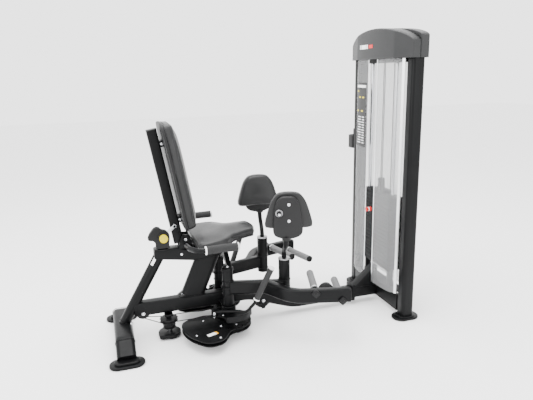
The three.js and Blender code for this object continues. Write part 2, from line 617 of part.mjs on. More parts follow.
// Tower base: a cross beam with a short stub and gusset that bolt to the main beam.
function towerBase() {
  const cross = box(front, front + 28, -inside, inside, 30, 120);
  const stub = box(BEAM_FRONT_X + GAP, front + 2, -half, half, BEAM.frontBottom, BEAM.frontTop);
  const gusset = plateXZ(shapeOf([[BEAM_FRONT_X + 4, BEAM.frontTop - 1], [front + 1, BEAM.frontTop - 1],
    [front + 1, 222], [front - 30, 214]]), -half, half);
  const shelf = box(front, 816, -210, 210, 120, 128);
  const cheeks = [-25, 17].map((y) => box(front + 20, 812, y, y + 8, 62, 122));
  const { x, z } = PULLEYS.tower_base_pulley;
  const pin = rod(PIN, v3(x, -20, z), v3(x, 20, z), 16);
  const overRod = (s, z) => v3(STACK.x, s * ROD_SPACING, z);
  const posts = [-1, 1].map((s) => rod(19, overRod(s, 126), overRod(s, 236), 16));
  const body = build([cross, stub, gusset, shelf, ...cheeks, ...posts], [
    box(BEAM_FRONT_X - 5, front + 40, -hollowHalf, hollowHalf, BEAM.frontBottom + 4, BEAM.frontTop - 4),
    box(STACK.x + 48, 830, -12, 12, 110, 140),
    ...[-1, 1].map((s) => rod(11, v3(STACK.x, s * ROD_SPACING, 140), v3(STACK.x, s * ROD_SPACING, 250), 14)),
  ]);
  return build([body, pin]);
}
piece('tower_base', towerBase(), FRAME);

function topBeam() {
  const bar = box(front, rear, -inside, inside, 1400, 1440);
  const { x, z } = PULLEYS.top_pulley;
  const cheeks = [-26, 18].map((y) => box(x - 18, x + 18, y, y + 8, 1436, z + 16));
  const pin = rod(PIN, v3(x, -20, z), v3(x, 20, z), 16);
  const body = build([bar, ...cheeks], [box(STACK.x - 12, STACK.x + 80, -16, 16, 1390, 1445),
    ...[-1, 1].map((s) => rod(10.4, v3(STACK.x, s * ROD_SPACING, 1390), v3(STACK.x, s * ROD_SPACING, 1424), 14))]);
  return build([body, pin]);
}
piece('tower_top_beam', topBeam(), FRAME);

for (const [name, s] of Object.entries(SIDES)) {
  const end = (z) => v3(STACK.x, s * ROD_SPACING, z);
  piece(`guide_rod_${name}`, rod(10, end(141), end(1423), 14), CHROME);
}

// Shroud: an arched cap, open underneath, that sits over the tops of the uprights.
const arch = (drop, halfWidth, bottom) => {
  const s = new THREE.Shape();
  s.moveTo(-halfWidth, bottom);
  s.lineTo(-halfWidth, 1512 - drop);
  s.bezierCurveTo(-halfWidth + 60, SHROUD_PEAK - 24 - drop, -120, SHROUD_PEAK - drop, 0, SHROUD_PEAK - drop);
  s.bezierCurveTo(120, SHROUD_PEAK - drop, halfWidth - 60, SHROUD_PEAK - 24 - drop, halfWidth, 1512 - drop);
  s.lineTo(halfWidth, bottom);
  return s;
};
function shroud() {
  const bow = shapeOf([[front - 10, -326], [front - 42, -200], [front - 52, 0], [front - 42, 200], [front - 10, 326],
    [rear + 10, 326], [rear + 32, 200], [rear + 32, -200], [rear + 10, -326]]);
  const bowInner = shapeOf([[front - 5, -321], [front - 38, -196], [front - 48, 0], [front - 38, 196], [front - 5, 321],
    [rear + 5, 321], [rear + 28, 196], [rear + 28, -196], [rear + 5, -321]]);
  const outer = toSolid(plateYZ(arch(0, 326, SHROUD_BOTTOM), front - 80, rear + 60))
    .intersect(toSolid(plateXY(bow, SHROUD_BOTTOM, SHROUD_PEAK + 5)));
  const cavity = toSolid(plateYZ(arch(5, 321, SHROUD_BOTTOM - 10), front - 80, rear + 60))
    .intersect(toSolid(plateXY(bowInner, SHROUD_BOTTOM - 10, SHROUD_PEAK)));
  return toGeometry(outer.subtract(cavity));
}
piece('tower_shroud', shroud(), SHROUD);

// Front shields: two bowed panels with an open slot between them for the selector pin.
const shieldTop = SHROUD_BOTTOM - GAP;
for (const [name, s] of Object.entries(SIDES)) {
  const plan = shapeOf([[front - 1, s * 252], [front - 24, s * 214], [front - 38, s * 160], [front - 44.5, s * 52],
    [front - 44.5, s * 44], [front - 48, s * 44], [front - 48, s * 52], [front - 41.5, s * 162],
    [front - 27, s * 217], [front - 4, s * 255]]);
  piece(`front_shield_${name}`, plateXY(plan, 134, shieldTop), CLEAR);
}
const rearPlan = shapeOf([[rear + 1, -255], [rear + 22, -170], [rear + 28, -60], [rear + 28, 60], [rear + 22, 170],
  [rear + 1, 255], [rear + 4.5, 256], [rear + 26, 170], [rear + 32, 60], [rear + 32, -60], [rear + 26, -170],
  [rear + 4.5, -256]]);
piece('rear_shield', plateXY(rearPlan, 134, shieldTop), CLEAR);

// The stack is parted at the selector pin: the plates above it lift with the head plate and stem.
function plates(z0, z1, count) {
  const pitch = (z1 - z0) / count;
  const blocks = [];
  const [x0, x1] = [STACK.x - STACK.depth / 2, STACK.x + STACK.depth / 2];
  for (let i = 0; i < count; i++) {
    const z = z0 + i * pitch;
    blocks.push([x0 + 2, z], [x0, z + 2], [x0, z + pitch - 2], [x0 + 2, z + pitch]);
  }
  for (let i = count - 1; i >= 0; i--) {
    const z = z0 + i * pitch;
    blocks.push([x1 - 2, z + pitch], [x1, z + pitch - 2], [x1, z + 2], [x1 - 2, z]);
  }
  return plateXZ(shapeOf(blocks), -STACK.width / 2, STACK.width / 2);
}
const rodHoles = (z0, z1) => [-1, 1].map((s) => rod(11.5, v3(STACK.x, s * ROD_SPACING, z0),
  v3(STACK.x, s * ROD_SPACING, z1), 14));
const cableBores = (z0, z1) => [-1, 1].map((s) => rod(4.2, v3(STACK.x, s * CABLE_Y, z0), v3(STACK.x, s * CABLE_Y, z1), 10));
const PIN_Z = STACK.split + 12;
const pinHole = box(STACK.x - 60, STACK.x + 20, -6, 6, PIN_Z - 6, PIN_Z + 6);

piece('lifted_stack', build([
  plates(STACK.split + GAP, STACK.top, 4),
  box(STACK.x - 34, STACK.x + 34, -60, 60, STACK.top - 1, STACK.top + 22),
  rod(20, v3(STACK.x, 0, STACK.top), v3(STACK.x, 0, STACK.top + 84)),
], [...rodHoles(STACK.split - 10, STACK.top + 30), ...cableBores(STACK.split + 40, STACK.top + 90), pinHole]), CAST);

piece('resting_stack', build([plates(STACK.bottom, STACK.split, 8)],
  [...rodHoles(STACK.bottom - 10, STACK.split + 10)]), CAST);

piece('selector_pin', build([
  rod(4.5, v3(STACK.x + 10, 0, PIN_Z), v3(STACK.x - 64, 0, PIN_Z), 12),
  rod(13, v3(STACK.x - 96, 0, PIN_Z), v3(STACK.x - 62, 0, PIN_Z), 16),
]), RED);

// Bottle holder with a towel hook on the far upright.
function bottleHolder() {
  const y0 = UPRIGHT.y + UPRIGHT.width / 2 + GAP;
  const wall = box(TOWER_X - 34, TOWER_X + 42, y0, y0 + 82, 885, 965);
  const room = box(TOWER_X - 28, TOWER_X + 36, y0 + 10, y0 + 76, 893, 980);
  const hook = plateXZ(shapeOf([[TOWER_X - 34, 964], [TOWER_X - 26, 964], [TOWER_X - 26, 996], [TOWER_X - 8, 1006],
    [TOWER_X - 12, 1012], [TOWER_X - 34, 1002]]), y0 + 2, y0 + 12);
  return build([wall, hook], [room]);
}
piece('bottle_holder', bottleHolder(), PLASTIC);

// ---------------------------------------------------------------- pulleys and cables

for (const [name, spec] of Object.entries(PULLEYS)) {
  piece(name, wheel(spec), PLASTIC);
}

// Idler post: a bolt that hangs from the beam and carries two guide pulleys and a guard disc.
const idlerAt = (z) => v3(IDLER.x, IDLER.y, z);
piece('idler_post', build([
  rod(PIN, idlerAt(IDLER.guardBottom + 2), idlerAt(127.7), 16),
  rod(IDLER.guard, idlerAt(IDLER.guardBottom), idlerAt(IDLER.guardBottom + 18), 28),
  box(IDLER.x - 22, IDLER.x + 22, IDLER.y - 22, -12, 118, 127.7),
]), FRAME);
function idler(radius, level, rim) {
  const [bore, core, w] = [PIN + 0.6, radius - 6, 9];
  const profile = [[bore, -w], [rim, -w], [core, 0], [rim, w], [bore, w], [bore, -w]];
  const g = new THREE.LatheGeometry(profile.map(([a, b]) => new THREE.Vector2(a, b)), 18);
  return g.rotateX(Math.PI / 2).translate(IDLER.x, IDLER.y, level);
}
piece('lower_idler', idler(IDLER.lowerR, CAM_LEVEL.near, IDLER.lowerR + 4), PLASTIC);
piece('upper_idler', idler(IDLER.upperR, CAM_LEVEL.far, IDLER.upperR + 4), PLASTIC);

// Points on an arc in the plane y = const, turning from one angle to another.
function arcXZ({ x, z, r }, y, from, to, steps) {
  const points = [];
  for (let i = 0; i <= steps; i++) {
    const a = from + ((to - from) * i) / steps;
    points.push(v3(x + r * Math.cos(a), y, z + r * Math.sin(a)));
  }
  return points;
}

// Each cable: stack, over the tower, under its base, up the beam's bend, round the rear pulley, to the cam.
function cable(s, level) {
  const y = s * CABLE_Y;
  const { top_pulley: top, tower_base_pulley: base, low_bend_pulley: low, high_bend_pulley: high, rear_pulley: back }
    = PULLEYS;
  const reach = Math.hypot(low.x - high.x, low.z - high.z);
  const rise = Math.asin((low.r + high.r) / reach) - Math.atan2(low.z - high.z, low.x - high.x);
  const lean = Math.asin((back.r - high.r) / Math.hypot(back.x - high.x, back.z - high.z))
    - Math.atan2(back.z - high.z, high.x - back.x);
  const rearTop = Math.PI / 2 + lean;
  const idlerX = IDLER.x;
  const camX = PIVOT.x;
  const route = [
    v3(STACK.x, y, STACK.top + 4),
    ...arcXZ(top, y, Math.PI, 0, 8),
    ...arcXZ(base, y, 0, -Math.PI / 2, 5),
    ...arcXZ(low, y, -Math.PI / 2, -Math.PI / 2 - rise, 3),
    ...arcXZ(high, y, Math.PI / 2 - rise, rearTop, 3),
    ...arcXZ(back, y, rearTop, 1.5 * Math.PI, 8),
    v3(idlerX - 30, y, level),
    v3(camX, y, level),
  ];
  for (let i = 1; i <= 8; i++) {
    const a = (Math.PI / 3) * (i / 8);
    route.push(v3(camX + CAM_GROOVE * Math.sin(a), s * (PIVOT.y - CAM_GROOVE * Math.cos(a)), level));
  }
  return sweep(route, roundSection(CABLE_RADIUS, 6));
}
for (const [name, s] of Object.entries(SIDES)) {
  piece(`lift_cable_${name}`, cable(s, CAM_LEVEL[name]), CABLE);
}

export default group;
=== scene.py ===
# %% [markdown]
# # A hip abductor machine
#
# A gym machine is mostly painted steel tube, so most of this lesson is about three shapes: a section
# carried along a path, a profile turned round an axis, and a flat plate with softened edges. The
# cushions come last, as real foam does, pressed full of air by a cloth simulation.

# %% Load the frame
import json
from math import atan2, cos, hypot, pi, radians, sin

import bpy
import numpy as np
from mathutils import Matrix, Vector
from mathutils.bvhtree import BVHTree
from mathutils.geometry import tessellate_polygon


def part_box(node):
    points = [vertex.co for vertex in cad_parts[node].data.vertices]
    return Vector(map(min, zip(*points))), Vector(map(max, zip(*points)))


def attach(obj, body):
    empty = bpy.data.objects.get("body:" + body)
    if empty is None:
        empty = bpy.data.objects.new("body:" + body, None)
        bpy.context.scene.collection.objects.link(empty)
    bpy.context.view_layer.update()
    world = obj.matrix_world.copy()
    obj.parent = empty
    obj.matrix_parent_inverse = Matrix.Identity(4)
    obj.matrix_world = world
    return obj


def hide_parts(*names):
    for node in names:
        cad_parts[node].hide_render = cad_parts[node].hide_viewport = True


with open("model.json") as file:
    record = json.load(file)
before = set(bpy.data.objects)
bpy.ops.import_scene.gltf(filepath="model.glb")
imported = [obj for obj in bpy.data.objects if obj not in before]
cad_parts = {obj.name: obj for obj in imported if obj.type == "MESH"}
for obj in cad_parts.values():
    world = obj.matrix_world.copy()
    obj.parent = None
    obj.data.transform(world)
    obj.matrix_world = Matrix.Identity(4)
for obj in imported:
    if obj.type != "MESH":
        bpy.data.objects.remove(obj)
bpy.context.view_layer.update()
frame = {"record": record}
JOINTS = {joint["name"]: joint for joint in frame["record"]["behaviour"]["joints"]}
SIDES = {"near": -1, "far": 1}

# %% [markdown]
# ## Closed surfaces from arrays
#
# Every new surface here is a stack of rings: an array of shape (rings, points, 3). Joining each ring to
# the next gives quads, and a centre point at each end closes the shell. Volume has a sign, so a shell
# that came out inside out shows itself by a negative volume, and its faces are turned over.

# %% A shell: points, quads and triangles
class Shell:
    """A closed surface in millimetres: points (n, 3), quads (q, 4) and triangles (t, 3)."""

    def __init__(self, points, quads, triangles):
        self.points = points
        self.quads = quads
        self.triangles = triangles
        a, b, c, d = (points[quads[:, k]] for k in range(4))
        e, f, g = (points[triangles[:, k]] for k in range(3))
        corners = [(a, b, c), (a, c, d), (e, f, g)]
        volume = sum(np.einsum("ij,ij->i", p, np.cross(q, r)).sum() for p, q, r in corners) / 6
        if volume < 0:
            self.quads = quads[:, ::-1]
            self.triangles = triangles[:, ::-1]


def shell(rings, loop=False, cap=None):
    """Quads between ring i and ring i + 1. loop joins the last ring to the first; else fans, or the triangles
    of `cap`, close the two ends."""
    count, width = rings.shape[:2]
    index = np.arange(count * width).reshape(count, width)
    following = np.roll(index, -1, axis=0) if loop else index[1:]
    here = index if loop else index[:-1]
    quads = np.stack([here, np.roll(here, -1, 1), np.roll(following, -1, 1), following], -1).reshape(-1, 4)
    points = rings.reshape(-1, 3)
    if loop:
        return Shell(points, quads, np.zeros((0, 3), int))
    first, last = index[0], index[-1]
    if cap is not None:
        return Shell(points, quads, np.vstack([first[cap[:, ::-1]], last[cap]]))
    centres = rings[[0, -1]].mean(axis=1)
    low = np.stack([np.roll(first, -1), first, np.full(width, len(points))], -1)
    high = np.stack([last, np.roll(last, -1), np.full(width, len(points) + 1)], -1)
    return Shell(np.vstack([points, centres]), quads, np.vstack([low, high]))


print("a square tube has", len(shell(np.zeros((2, 4, 3)) + 1.0).quads), "side faces")

# %% Sections and paths
UP, ALONG, ACROSS, BACKWARDS = (0, 0, 1), (1, 0, 0), (0, 1, 0), (-1, 0, 0)


def circle(radius, count=28):
    """Points at equal angles on a circle."""
    a = np.arange(count) * 2 * pi / count
    return np.stack([radius * np.cos(a), radius * np.sin(a)], -1)


def rounded(width, height, radius, steps=6):
    """A rectangle whose corners are quarter circles: corner centre + radius * (cos a, sin a)."""
    a = np.concatenate([np.linspace(q, q + 1, steps + 1) for q in range(4)]) * pi / 2
    sx = np.repeat([1, -1, -1, 1], steps + 1)
    sy = np.repeat([1, 1, -1, -1], steps + 1)
    x = sx * (width / 2 - radius) + radius * np.cos(a)
    y = sy * (height / 2 - radius) + radius * np.sin(a)
    return np.stack([x, y], -1)


def bent(points, radius, steps=8):
    """A path whose corners are circular arcs: each corner is left at the tangent distance r tan(turn / 2)."""
    points = np.asarray(points, float)
    route = [points[:1]]
    for before, corner, after in zip(points[:-2], points[1:-1], points[2:]):
        into = (before - corner) / np.linalg.norm(before - corner)
        out = (after - corner) / np.linalg.norm(after - corner)
        half = np.arccos(np.clip(-into @ out, -1, 1)) / 2
        shorter = min(np.linalg.norm(before - corner), np.linalg.norm(after - corner))
        reach = min(radius * np.tan(half), 0.48 * shorter)
        centre = corner + (into + out) / np.linalg.norm(into + out) * reach / max(np.sin(half), 1e-6)
        size = reach / max(np.tan(half), 1e-6)
        start = (corner + into * reach - centre) / size
        end = (corner + out * reach - centre) / size
        t = np.linspace(0, 1, steps + 1)[:, None]
        full = 2 * half
        arc = (np.sin((1 - t) * full) * start + np.sin(t * full) * end) / max(np.sin(full), 1e-6)
        route.append(centre + size * arc)
    route.append(points[-1:])
    return np.vstack(route)


def smooth(points, count, loop=True):
    """A Catmull-Rom curve through a few points, sampled evenly in its parameter."""
    p = np.asarray(points, float)
    n = len(p)
    t = np.linspace(0, n if loop else n - 1, count, endpoint=not loop)
    i = np.minimum(t.astype(int), n - 1 if loop else n - 2)
    f = (t - i)[:, None]
    pick = (lambda k: p[(i + k) % n]) if loop else (lambda k: p[np.clip(i + k, 0, n - 1)])
    a, b, c, d = pick(-1), pick(0), pick(1), pick(2)
    return 0.5 * (2 * b + (c - a) * f + (2 * a - 5 * b + 4 * c - d) * f**2 + (3 * b - a - 3 * c + d) * f**3)


print("a bent path has", len(bent([(0, 0, 0), (9, 0, 0), (9, 9, 0)], 3)), "stations")

# %% Carry a section along a path
def unit(v):
    """The vector, or each row, over its length."""
    return v / np.linalg.norm(v, axis=-1, keepdims=True)


def along(path, section, up=UP, soft=0.0, loop=False):
    """Ring i = path[i] + x side[i] + y lift[i], with side = tangent x up. `soft` mm may round the ends."""
    path = np.asarray(path, float)
    steps = unit(np.roll(path, -1, 0) - path)
    before = np.roll(steps, 1, 0)
    if not loop:
        steps[-1] = steps[-2]
        before[0] = steps[0]
    tangent = unit(steps + before)
    side = unit(np.cross(tangent, np.asarray(up, float)))
    lift = np.cross(side, tangent)
    spread = 1 / np.clip(np.einsum("ij,ij->i", tangent, steps), 0.5, 1)
    section = np.broadcast_to(section, (len(path),) + np.shape(section)[-2:])
    turn = unit(np.cross(before, steps) + 1e-12)
    out = np.cross(turn, tangent)
    rings = path[:, None] + section[..., :1] * side[:, None] + section[..., 1:] * lift[:, None]
    offset = rings - path[:, None]
    stretch = np.einsum("ijk,ik->ij", offset, out)[..., None] * out[:, None]
    rings = rings + stretch * (spread - 1)[:, None, None]
    if soft and not loop:
        rings = softened(rings, tangent, soft)
    return shell(rings, loop)


def softened(rings, tangent, soft):
    """Three rings at each end draw in by soft * (1 - sin a) while they move out by soft * cos a."""
    a = np.linspace(0, pi / 2, 4)[:3, None, None]
    first = rings[0] + tangent[0] * soft
    last = rings[-1] - tangent[-1] * soft
    low = first + unit(first.mean(0) - first) * soft * (1 - np.sin(a)) - tangent[0] * soft * np.cos(a)
    high = last + unit(last.mean(0) - last) * soft * (1 - np.sin(a)) + tangent[-1] * soft * np.cos(a)
    return np.concatenate([low, first[None], rings[1:-1], last[None], high[::-1]])


def rod(start, end, radius, soft=1.5, count=28):
    """A round bar between two points, with softened ends."""
    start, end = np.asarray(start, float), np.asarray(end, float)
    up = ALONG if abs(unit(end - start)[0]) < 0.7 else ACROSS
    return along([start, end], circle(radius, count), up, soft)


def spokes(axis, count):
    """The unit axis, the angles, and one unit vector at right angles to the axis for each angle."""
    a = np.arange(count) * 2 * pi / count
    axis = unit(np.asarray(axis, float))
    side = unit(np.cross(axis, ALONG if abs(axis[0]) < 0.7 else ACROSS))
    return axis, a, np.cos(a)[:, None] * side + np.sin(a)[:, None] * np.cross(axis, side)


def turned(profile, centre, axis, count=40, loop=False):
    """A profile of (radius, height) turned round an axis: centre + h axis + r (cos a, sin a)."""
    axis, _, ring = spokes(axis, count)
    radius, height = np.asarray(profile, float).T
    return shell(np.asarray(centre) + height[:, None, None] * axis + radius[:, None, None] * ring, loop)


def collar(inner, outer, low, high, centre, axis, bevel=1.0, count=48):
    """A ring between two radii and two heights, with a bevel on its outer edges."""
    profile = [(inner, low), (outer - bevel, low), (outer, low + bevel), (outer, high - bevel),
               (outer - bevel, high), (inner, high)]
    return turned(profile, centre, axis, count, loop=True)


def inset(outline, distance):
    """Moves each point of a counter-clockwise outline inwards along its own mitre."""
    edge = unit(np.roll(outline, -1, 0) - outline)
    normal = np.stack([-edge[:, 1], edge[:, 0]], -1)
    mitre = unit(normal + np.roll(normal, 1, 0) + 1e-9)
    return outline + mitre * distance / np.clip(np.einsum("ij,ij->i", mitre, normal), 0.4, 1)[:, None]


ORDER = {"XY": [0, 1, 2], "XZ": [0, 2, 1], "YZ": [2, 0, 1]}


def counter_clockwise(outline):
    """The outline, turned over if its signed area, the sum of x dy - y dx, is negative."""
    x, y = np.asarray(outline, float).T
    area = (x * np.roll(y, -1) - np.roll(x, -1) * y).sum()
    return np.asarray(outline, float)[:: 1 if area > 0 else -1]


def slab(outline, low, high, plane="XY", soft=1.2):
    """A plate with a quarter round of `soft` mm on its edges; plane names the outline's two axes."""
    outline = counter_clockwise(outline)
    a = np.linspace(0, pi / 2, 4)
    rounds = [(soft * (1 - np.sin(t)), low + soft * (1 - np.cos(t))) for t in a]
    rounds += [(soft * (1 - np.sin(t)), high - soft * (1 - np.cos(t))) for t in a[::-1]]
    rings = np.stack([np.column_stack([inset(outline, d), np.full(len(outline), h)]) for d, h in rounds])
    cap = np.array(tessellate_polygon([[Vector((*p, 0)) for p in inset(outline, soft)]]))
    x, y = outline[cap].transpose(2, 0, 1)
    area = (x[:, 1] - x[:, 0]) * (y[:, 2] - y[:, 0]) - (x[:, 2] - x[:, 0]) * (y[:, 1] - y[:, 0])
    cap = np.where(area[:, None] > 0, cap, cap[:, ::-1])
    return shell(rings[..., ORDER[plane]], cap=cap)


def block(x0, x1, y0, y1, z0, z1, soft=2.0):
    """A box with rounded corners and softened faces."""
    outline = rounded(x1 - x0, y1 - y0, max(soft, 1.0), 3) + ((x0 + x1) / 2, (y0 + y1) / 2)
    return slab(outline, z0, z1, "XY", soft)


print("a rod has", len(rod((0, 0, 0), (0, 0, 9), 3).quads), "quads")

# %% [markdown]
# ## Pieces
#
# A piece is made of one or more closed shells, as a weldment is made of several tubes. It rides on a
# body of the mechanism, stands for the plain CAD nodes that it replaces, and takes its finish from a
# material. Edges sharper than 35 degrees stay crisp, and the rest is shaded smooth.

# %% Put shells in place and make a mesh of them
def placed(shells, origin=(0, 0, 0), axes=None):
    """Points in a local frame, in mm, become origin + x ex + y ey + z ez."""
    axes = np.eye(3) if axes is None else np.asarray(axes, float)
    return [Shell(s.points @ axes + np.asarray(origin, float), s.quads, s.triangles) for s in shells]


def make_mesh(name, shells):
    """One mesh of all the shells, in metres, with its corners numbered one shell after another."""
    starts = np.cumsum([0] + [len(s.points) for s in shells[:-1]])
    quads = np.vstack([s.quads + k for s, k in zip(shells, starts)])
    triangles = np.vstack([s.triangles + k for s, k in zip(shells, starts)])
    mesh = bpy.data.meshes.new(name)
    points = np.vstack([s.points for s in shells]) / 1000
    corners = np.concatenate([quads.ravel(), triangles.ravel()]).astype(np.int32)
    totals = np.concatenate([np.full(len(quads), 4), np.full(len(triangles), 3)])
    mesh.vertices.add(len(points))
    mesh.vertices.foreach_set("co", points.ravel())
    mesh.loops.add(len(corners))
    mesh.loops.foreach_set("vertex_index", corners)
    mesh.polygons.add(len(totals))
    mesh.polygons.foreach_set("loop_start", (np.cumsum(totals) - totals).astype(np.int32))
    mesh.update(calc_edges=True)
    mesh.validate()
    return mesh


def shade(mesh, angle=35):
    """Smooth faces with sharp edges where the surface turns by more than the angle."""
    mesh.polygons.foreach_set("use_smooth", np.ones(len(mesh.polygons), bool))
    mesh.set_sharp_from_angle(angle=radians(angle))
    mesh.update()


def piece(name, shells, finish, body, stands_for=()):
    """A finished piece: its mesh, its material, its body and the CAD nodes it replaces."""
    obj = bpy.data.objects.new(name, make_mesh(name, shells))
    bpy.context.scene.collection.objects.link(obj)
    shade(obj.data)
    obj.data.materials.append(finish.material)
    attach(obj, body)
    if stands_for:
        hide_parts(*stands_for)
    return obj


# %% [markdown]
# ## Shader maths as plain sums
#
# A material is a graph of nodes. To keep the sums readable, one small class wraps an output socket and
# turns +, - and * into Math nodes, and one method makes any other node.

# %% A value in a material
class Value:
    """An output socket; sums on it add Math nodes to the same material."""

    def __init__(self, finish, socket):
        self.finish, self.socket = finish, socket

    def sum(self, operation, a, b):
        return self.finish.node("ShaderNodeMath", {"operation": operation}, {0: a, 1: b})

    def __add__(self, other):
        return self.sum("ADD", self, other)

    def __sub__(self, other):
        return self.sum("SUBTRACT", self, other)

    def __rsub__(self, other):
        return self.sum("SUBTRACT", other, self)

    def __mul__(self, other):
        return self.sum("MULTIPLY", self, other)

    __radd__ = __add__
    __rmul__ = __mul__


# %% A finish: a material and the record slot it belongs to
class Finish:
    """A Principled surface. Constants are set on its own sockets; links come from node()."""

    def __init__(self, name, slot, color, roughness, metallic=0.0, **sockets):
        self.slot = slot
        self.material = bpy.data.materials.new(name)
        self.material.use_nodes = True
        self.tree = self.material.node_tree
        self.surface = self.tree.nodes["Principled BSDF"]
        self.color, self.roughness = color, roughness
        words = {"Base Color": (*color, 1), "Roughness": roughness, "Metallic": metallic}
        for socket, value in {**words, **sockets}.items():
            self.surface.inputs[socket].default_value = value

    def node(self, kind, settings=None, inputs=None, output=0):
        """Any node: settings first, then the values or links of its sockets; returns one output."""
        node = self.tree.nodes.new(kind)
        for key, value in (settings or {}).items():
            setattr(node, key, value)
        for key, value in (inputs or {}).items():
            self.join(value, node.inputs[key])
        return Value(self, node.outputs[output])

    def join(self, value, socket):
        if isinstance(value, Value):
            self.tree.links.new(value.socket, socket)
        else:
            socket.default_value = value

    def place(self, stretch=(1, 1, 1)):
        """Object coordinates, stretched."""
        where = self.node("ShaderNodeTexCoord", output=3)
        return self.node("ShaderNodeMapping", inputs={"Vector": where, "Scale": stretch})

    def noise(self, scale, detail=3.0, stretch=(1, 1, 1)):
        inputs = {"Vector": self.place(stretch), "Scale": scale, "Detail": detail}
        return self.node("ShaderNodeTexNoise", inputs=inputs)

    def cells(self, scale, feature="F1", stretch=(1, 1, 1)):
        return self.node("ShaderNodeTexVoronoi", {"feature": feature},
                         {"Vector": self.place(stretch), "Scale": scale})

    def mottle(self, amount, other):
        """Base Color drifts from the main colour to another one as amount goes from 0 to 1."""
        mixed = self.node("ShaderNodeMix", {"data_type": "RGBA"},
                          {0: amount, 6: (*self.color, 1), 7: (*other, 1)}, output=2)
        self.join(mixed, self.surface.inputs["Base Color"])

    def uneven(self, amount, swing):
        """Roughness = its own value + swing * (amount - 0.5)."""
        self.join((amount - 0.5) * swing + self.roughness, self.surface.inputs["Roughness"])

    def bumps(self, height, distance, strength=0.5):
        inputs = {"Height": height, "Distance": distance, "Strength": strength}
        self.join(self.node("ShaderNodeBump", inputs=inputs), self.surface.inputs["Normal"])


print("Principled sockets", len(Finish("probe", "decal", (0, 0, 0), 0.5).surface.inputs))
bpy.data.materials.remove(bpy.data.materials["probe"])

# %% [markdown]
# ## Paint
#
# Powder coat is a baked plastic film. It has a fine orange peel, slow changes of gloss where the film
# is thicker, and a few paler specks. Noise at three scales gives the three effects.

# %% Powder coat
def powder(name, color, roughness):
    """Black powder coat: fine cells for the peel, slow noise for gloss, rare specks for dust."""
    coat = Finish(name, "frame_paint", color, roughness, 0.0, **{"Specular IOR Level": 0.1})
    peel = coat.noise(620, 2)
    slow = coat.noise(9, 3)
    coat.mottle(slow, tuple(c * 1.9 for c in color))
    coat.uneven(coat.noise(34, 4), 0.2)
    coat.bumps(peel + coat.noise(1500, 1) * 0.6, 0.00025, 0.45)
    return coat


PAINT = powder("charcoal_powder_coat", (0.0026, 0.0027, 0.0029), 0.34)
PLATE_PAINT = powder("cast_plate_paint", (0.004, 0.004, 0.0043), 0.5)
PLATE_PAINT.slot = "stack_paint"
print(PAINT.material.name, len(PAINT.tree.nodes), "nodes")

# %% [markdown]
# ## Plastics, rubber and metal
#
# Moulded plastic has a spark-eroded grain. Grip rubber is paler where hands have rubbed it. Bright
# parts are drawn bar, so their fine lines are stretched noise.

# %% Moulded parts
def moulded(name, slot, color, roughness, grain=900, depth=0.0002):
    part = Finish(name, slot, color, roughness, 0.0, **{"Specular IOR Level": 0.2})
    part.mottle(part.noise(14, 3), tuple(min(1, c * 1.3 + 0.001) for c in color))
    part.uneven(part.noise(60, 3), 0.14)
    part.bumps(part.cells(grain), depth, 0.4)
    return part


SHROUD = moulded("shroud_grey", "shroud_grey", (0.017, 0.0173, 0.0177), 0.4, 700)
BLACK = moulded("black_plastic", "black_plastic", (0.003, 0.003, 0.0033), 0.42)
COVER = moulded("pad_cover_plastic", "black_plastic", (0.007, 0.007, 0.0073), 0.48)
BOARD = moulded("board_plastic", "board", (0.006, 0.006, 0.0063), 0.45)
GRIP = moulded("grip_rubber", "grip_rubber", (0.015, 0.015, 0.0153), 0.62, 1300, 0.0005)
PEG = moulded("peg_rubber", "grip_rubber", (0.1, 0.1, 0.101), 0.6, 1300, 0.0004)
YELLOW = moulded("yellow_knob", "yellow_plastic", (0.5, 0.4, 0.0), 0.33, 500, 0.00008)
RED = moulded("red_knob", "red_plastic", (0.5, 0.012, 0.012), 0.3, 500, 0.00008)
WHITE = moulded("white_band", "decal", (0.8, 0.8, 0.79), 0.4, 500, 0.00006)
ORANGE = moulded("orange_print", "decal", (0.85, 0.38, 0.02), 0.4, 500, 0.00006)
PLACARD = moulded("placard_grey", "decal", (0.014, 0.014, 0.014), 0.4, 500, 0.00006)
JACKET = moulded("cable_jacket", "cable_jacket", (0.012, 0.012, 0.012), 0.35, 900, 0.0001)

# %% Metals and clear sheet
def drawn(name, color, roughness):
    metal = Finish(name, "bright_metal", color, roughness, 1.0)
    lines = metal.noise(260, 4, (1, 1, 0.03))
    metal.uneven(lines, 0.18)
    metal.bumps(lines, 0.00008, 0.3)
    return metal


STEEL = drawn("plated_steel", (0.66, 0.67, 0.69), 0.22)
DARK_STEEL = drawn("black_chrome", (0.24, 0.24, 0.245), 0.3)
ALUMINIUM = drawn("satin_aluminium", (0.83, 0.84, 0.85), 0.34)


def clear(name, color, alpha):
    sheet = Finish(name, "clear_acrylic", color, 0.22)
    haze = sheet.noise(2.2, 2, (1, 1, 0.25))
    sheet.join(haze * 0.2 + (alpha - 0.1), sheet.surface.inputs["Alpha"])
    sheet.uneven(sheet.noise(18, 3), 0.12)
    return sheet


SHEET = clear("smoked_sheet", (0.4, 0.404, 0.408), 0.18)
REAR_SHEET = clear("rear_sheet", (0.8, 0.805, 0.81), 0.35)
CLEAR_CAP = clear("clear_cap", (0.85, 0.85, 0.85), 0.75)
print("finishes", len(bpy.data.materials))

# %% [markdown]
# ## Fasteners and welds
#
# Screws are worked out once: a domed head is a profile of radius and height, and its hexagon socket is
# a ring whose radius follows the flats, r = a / cos(angle from the middle of the flat).

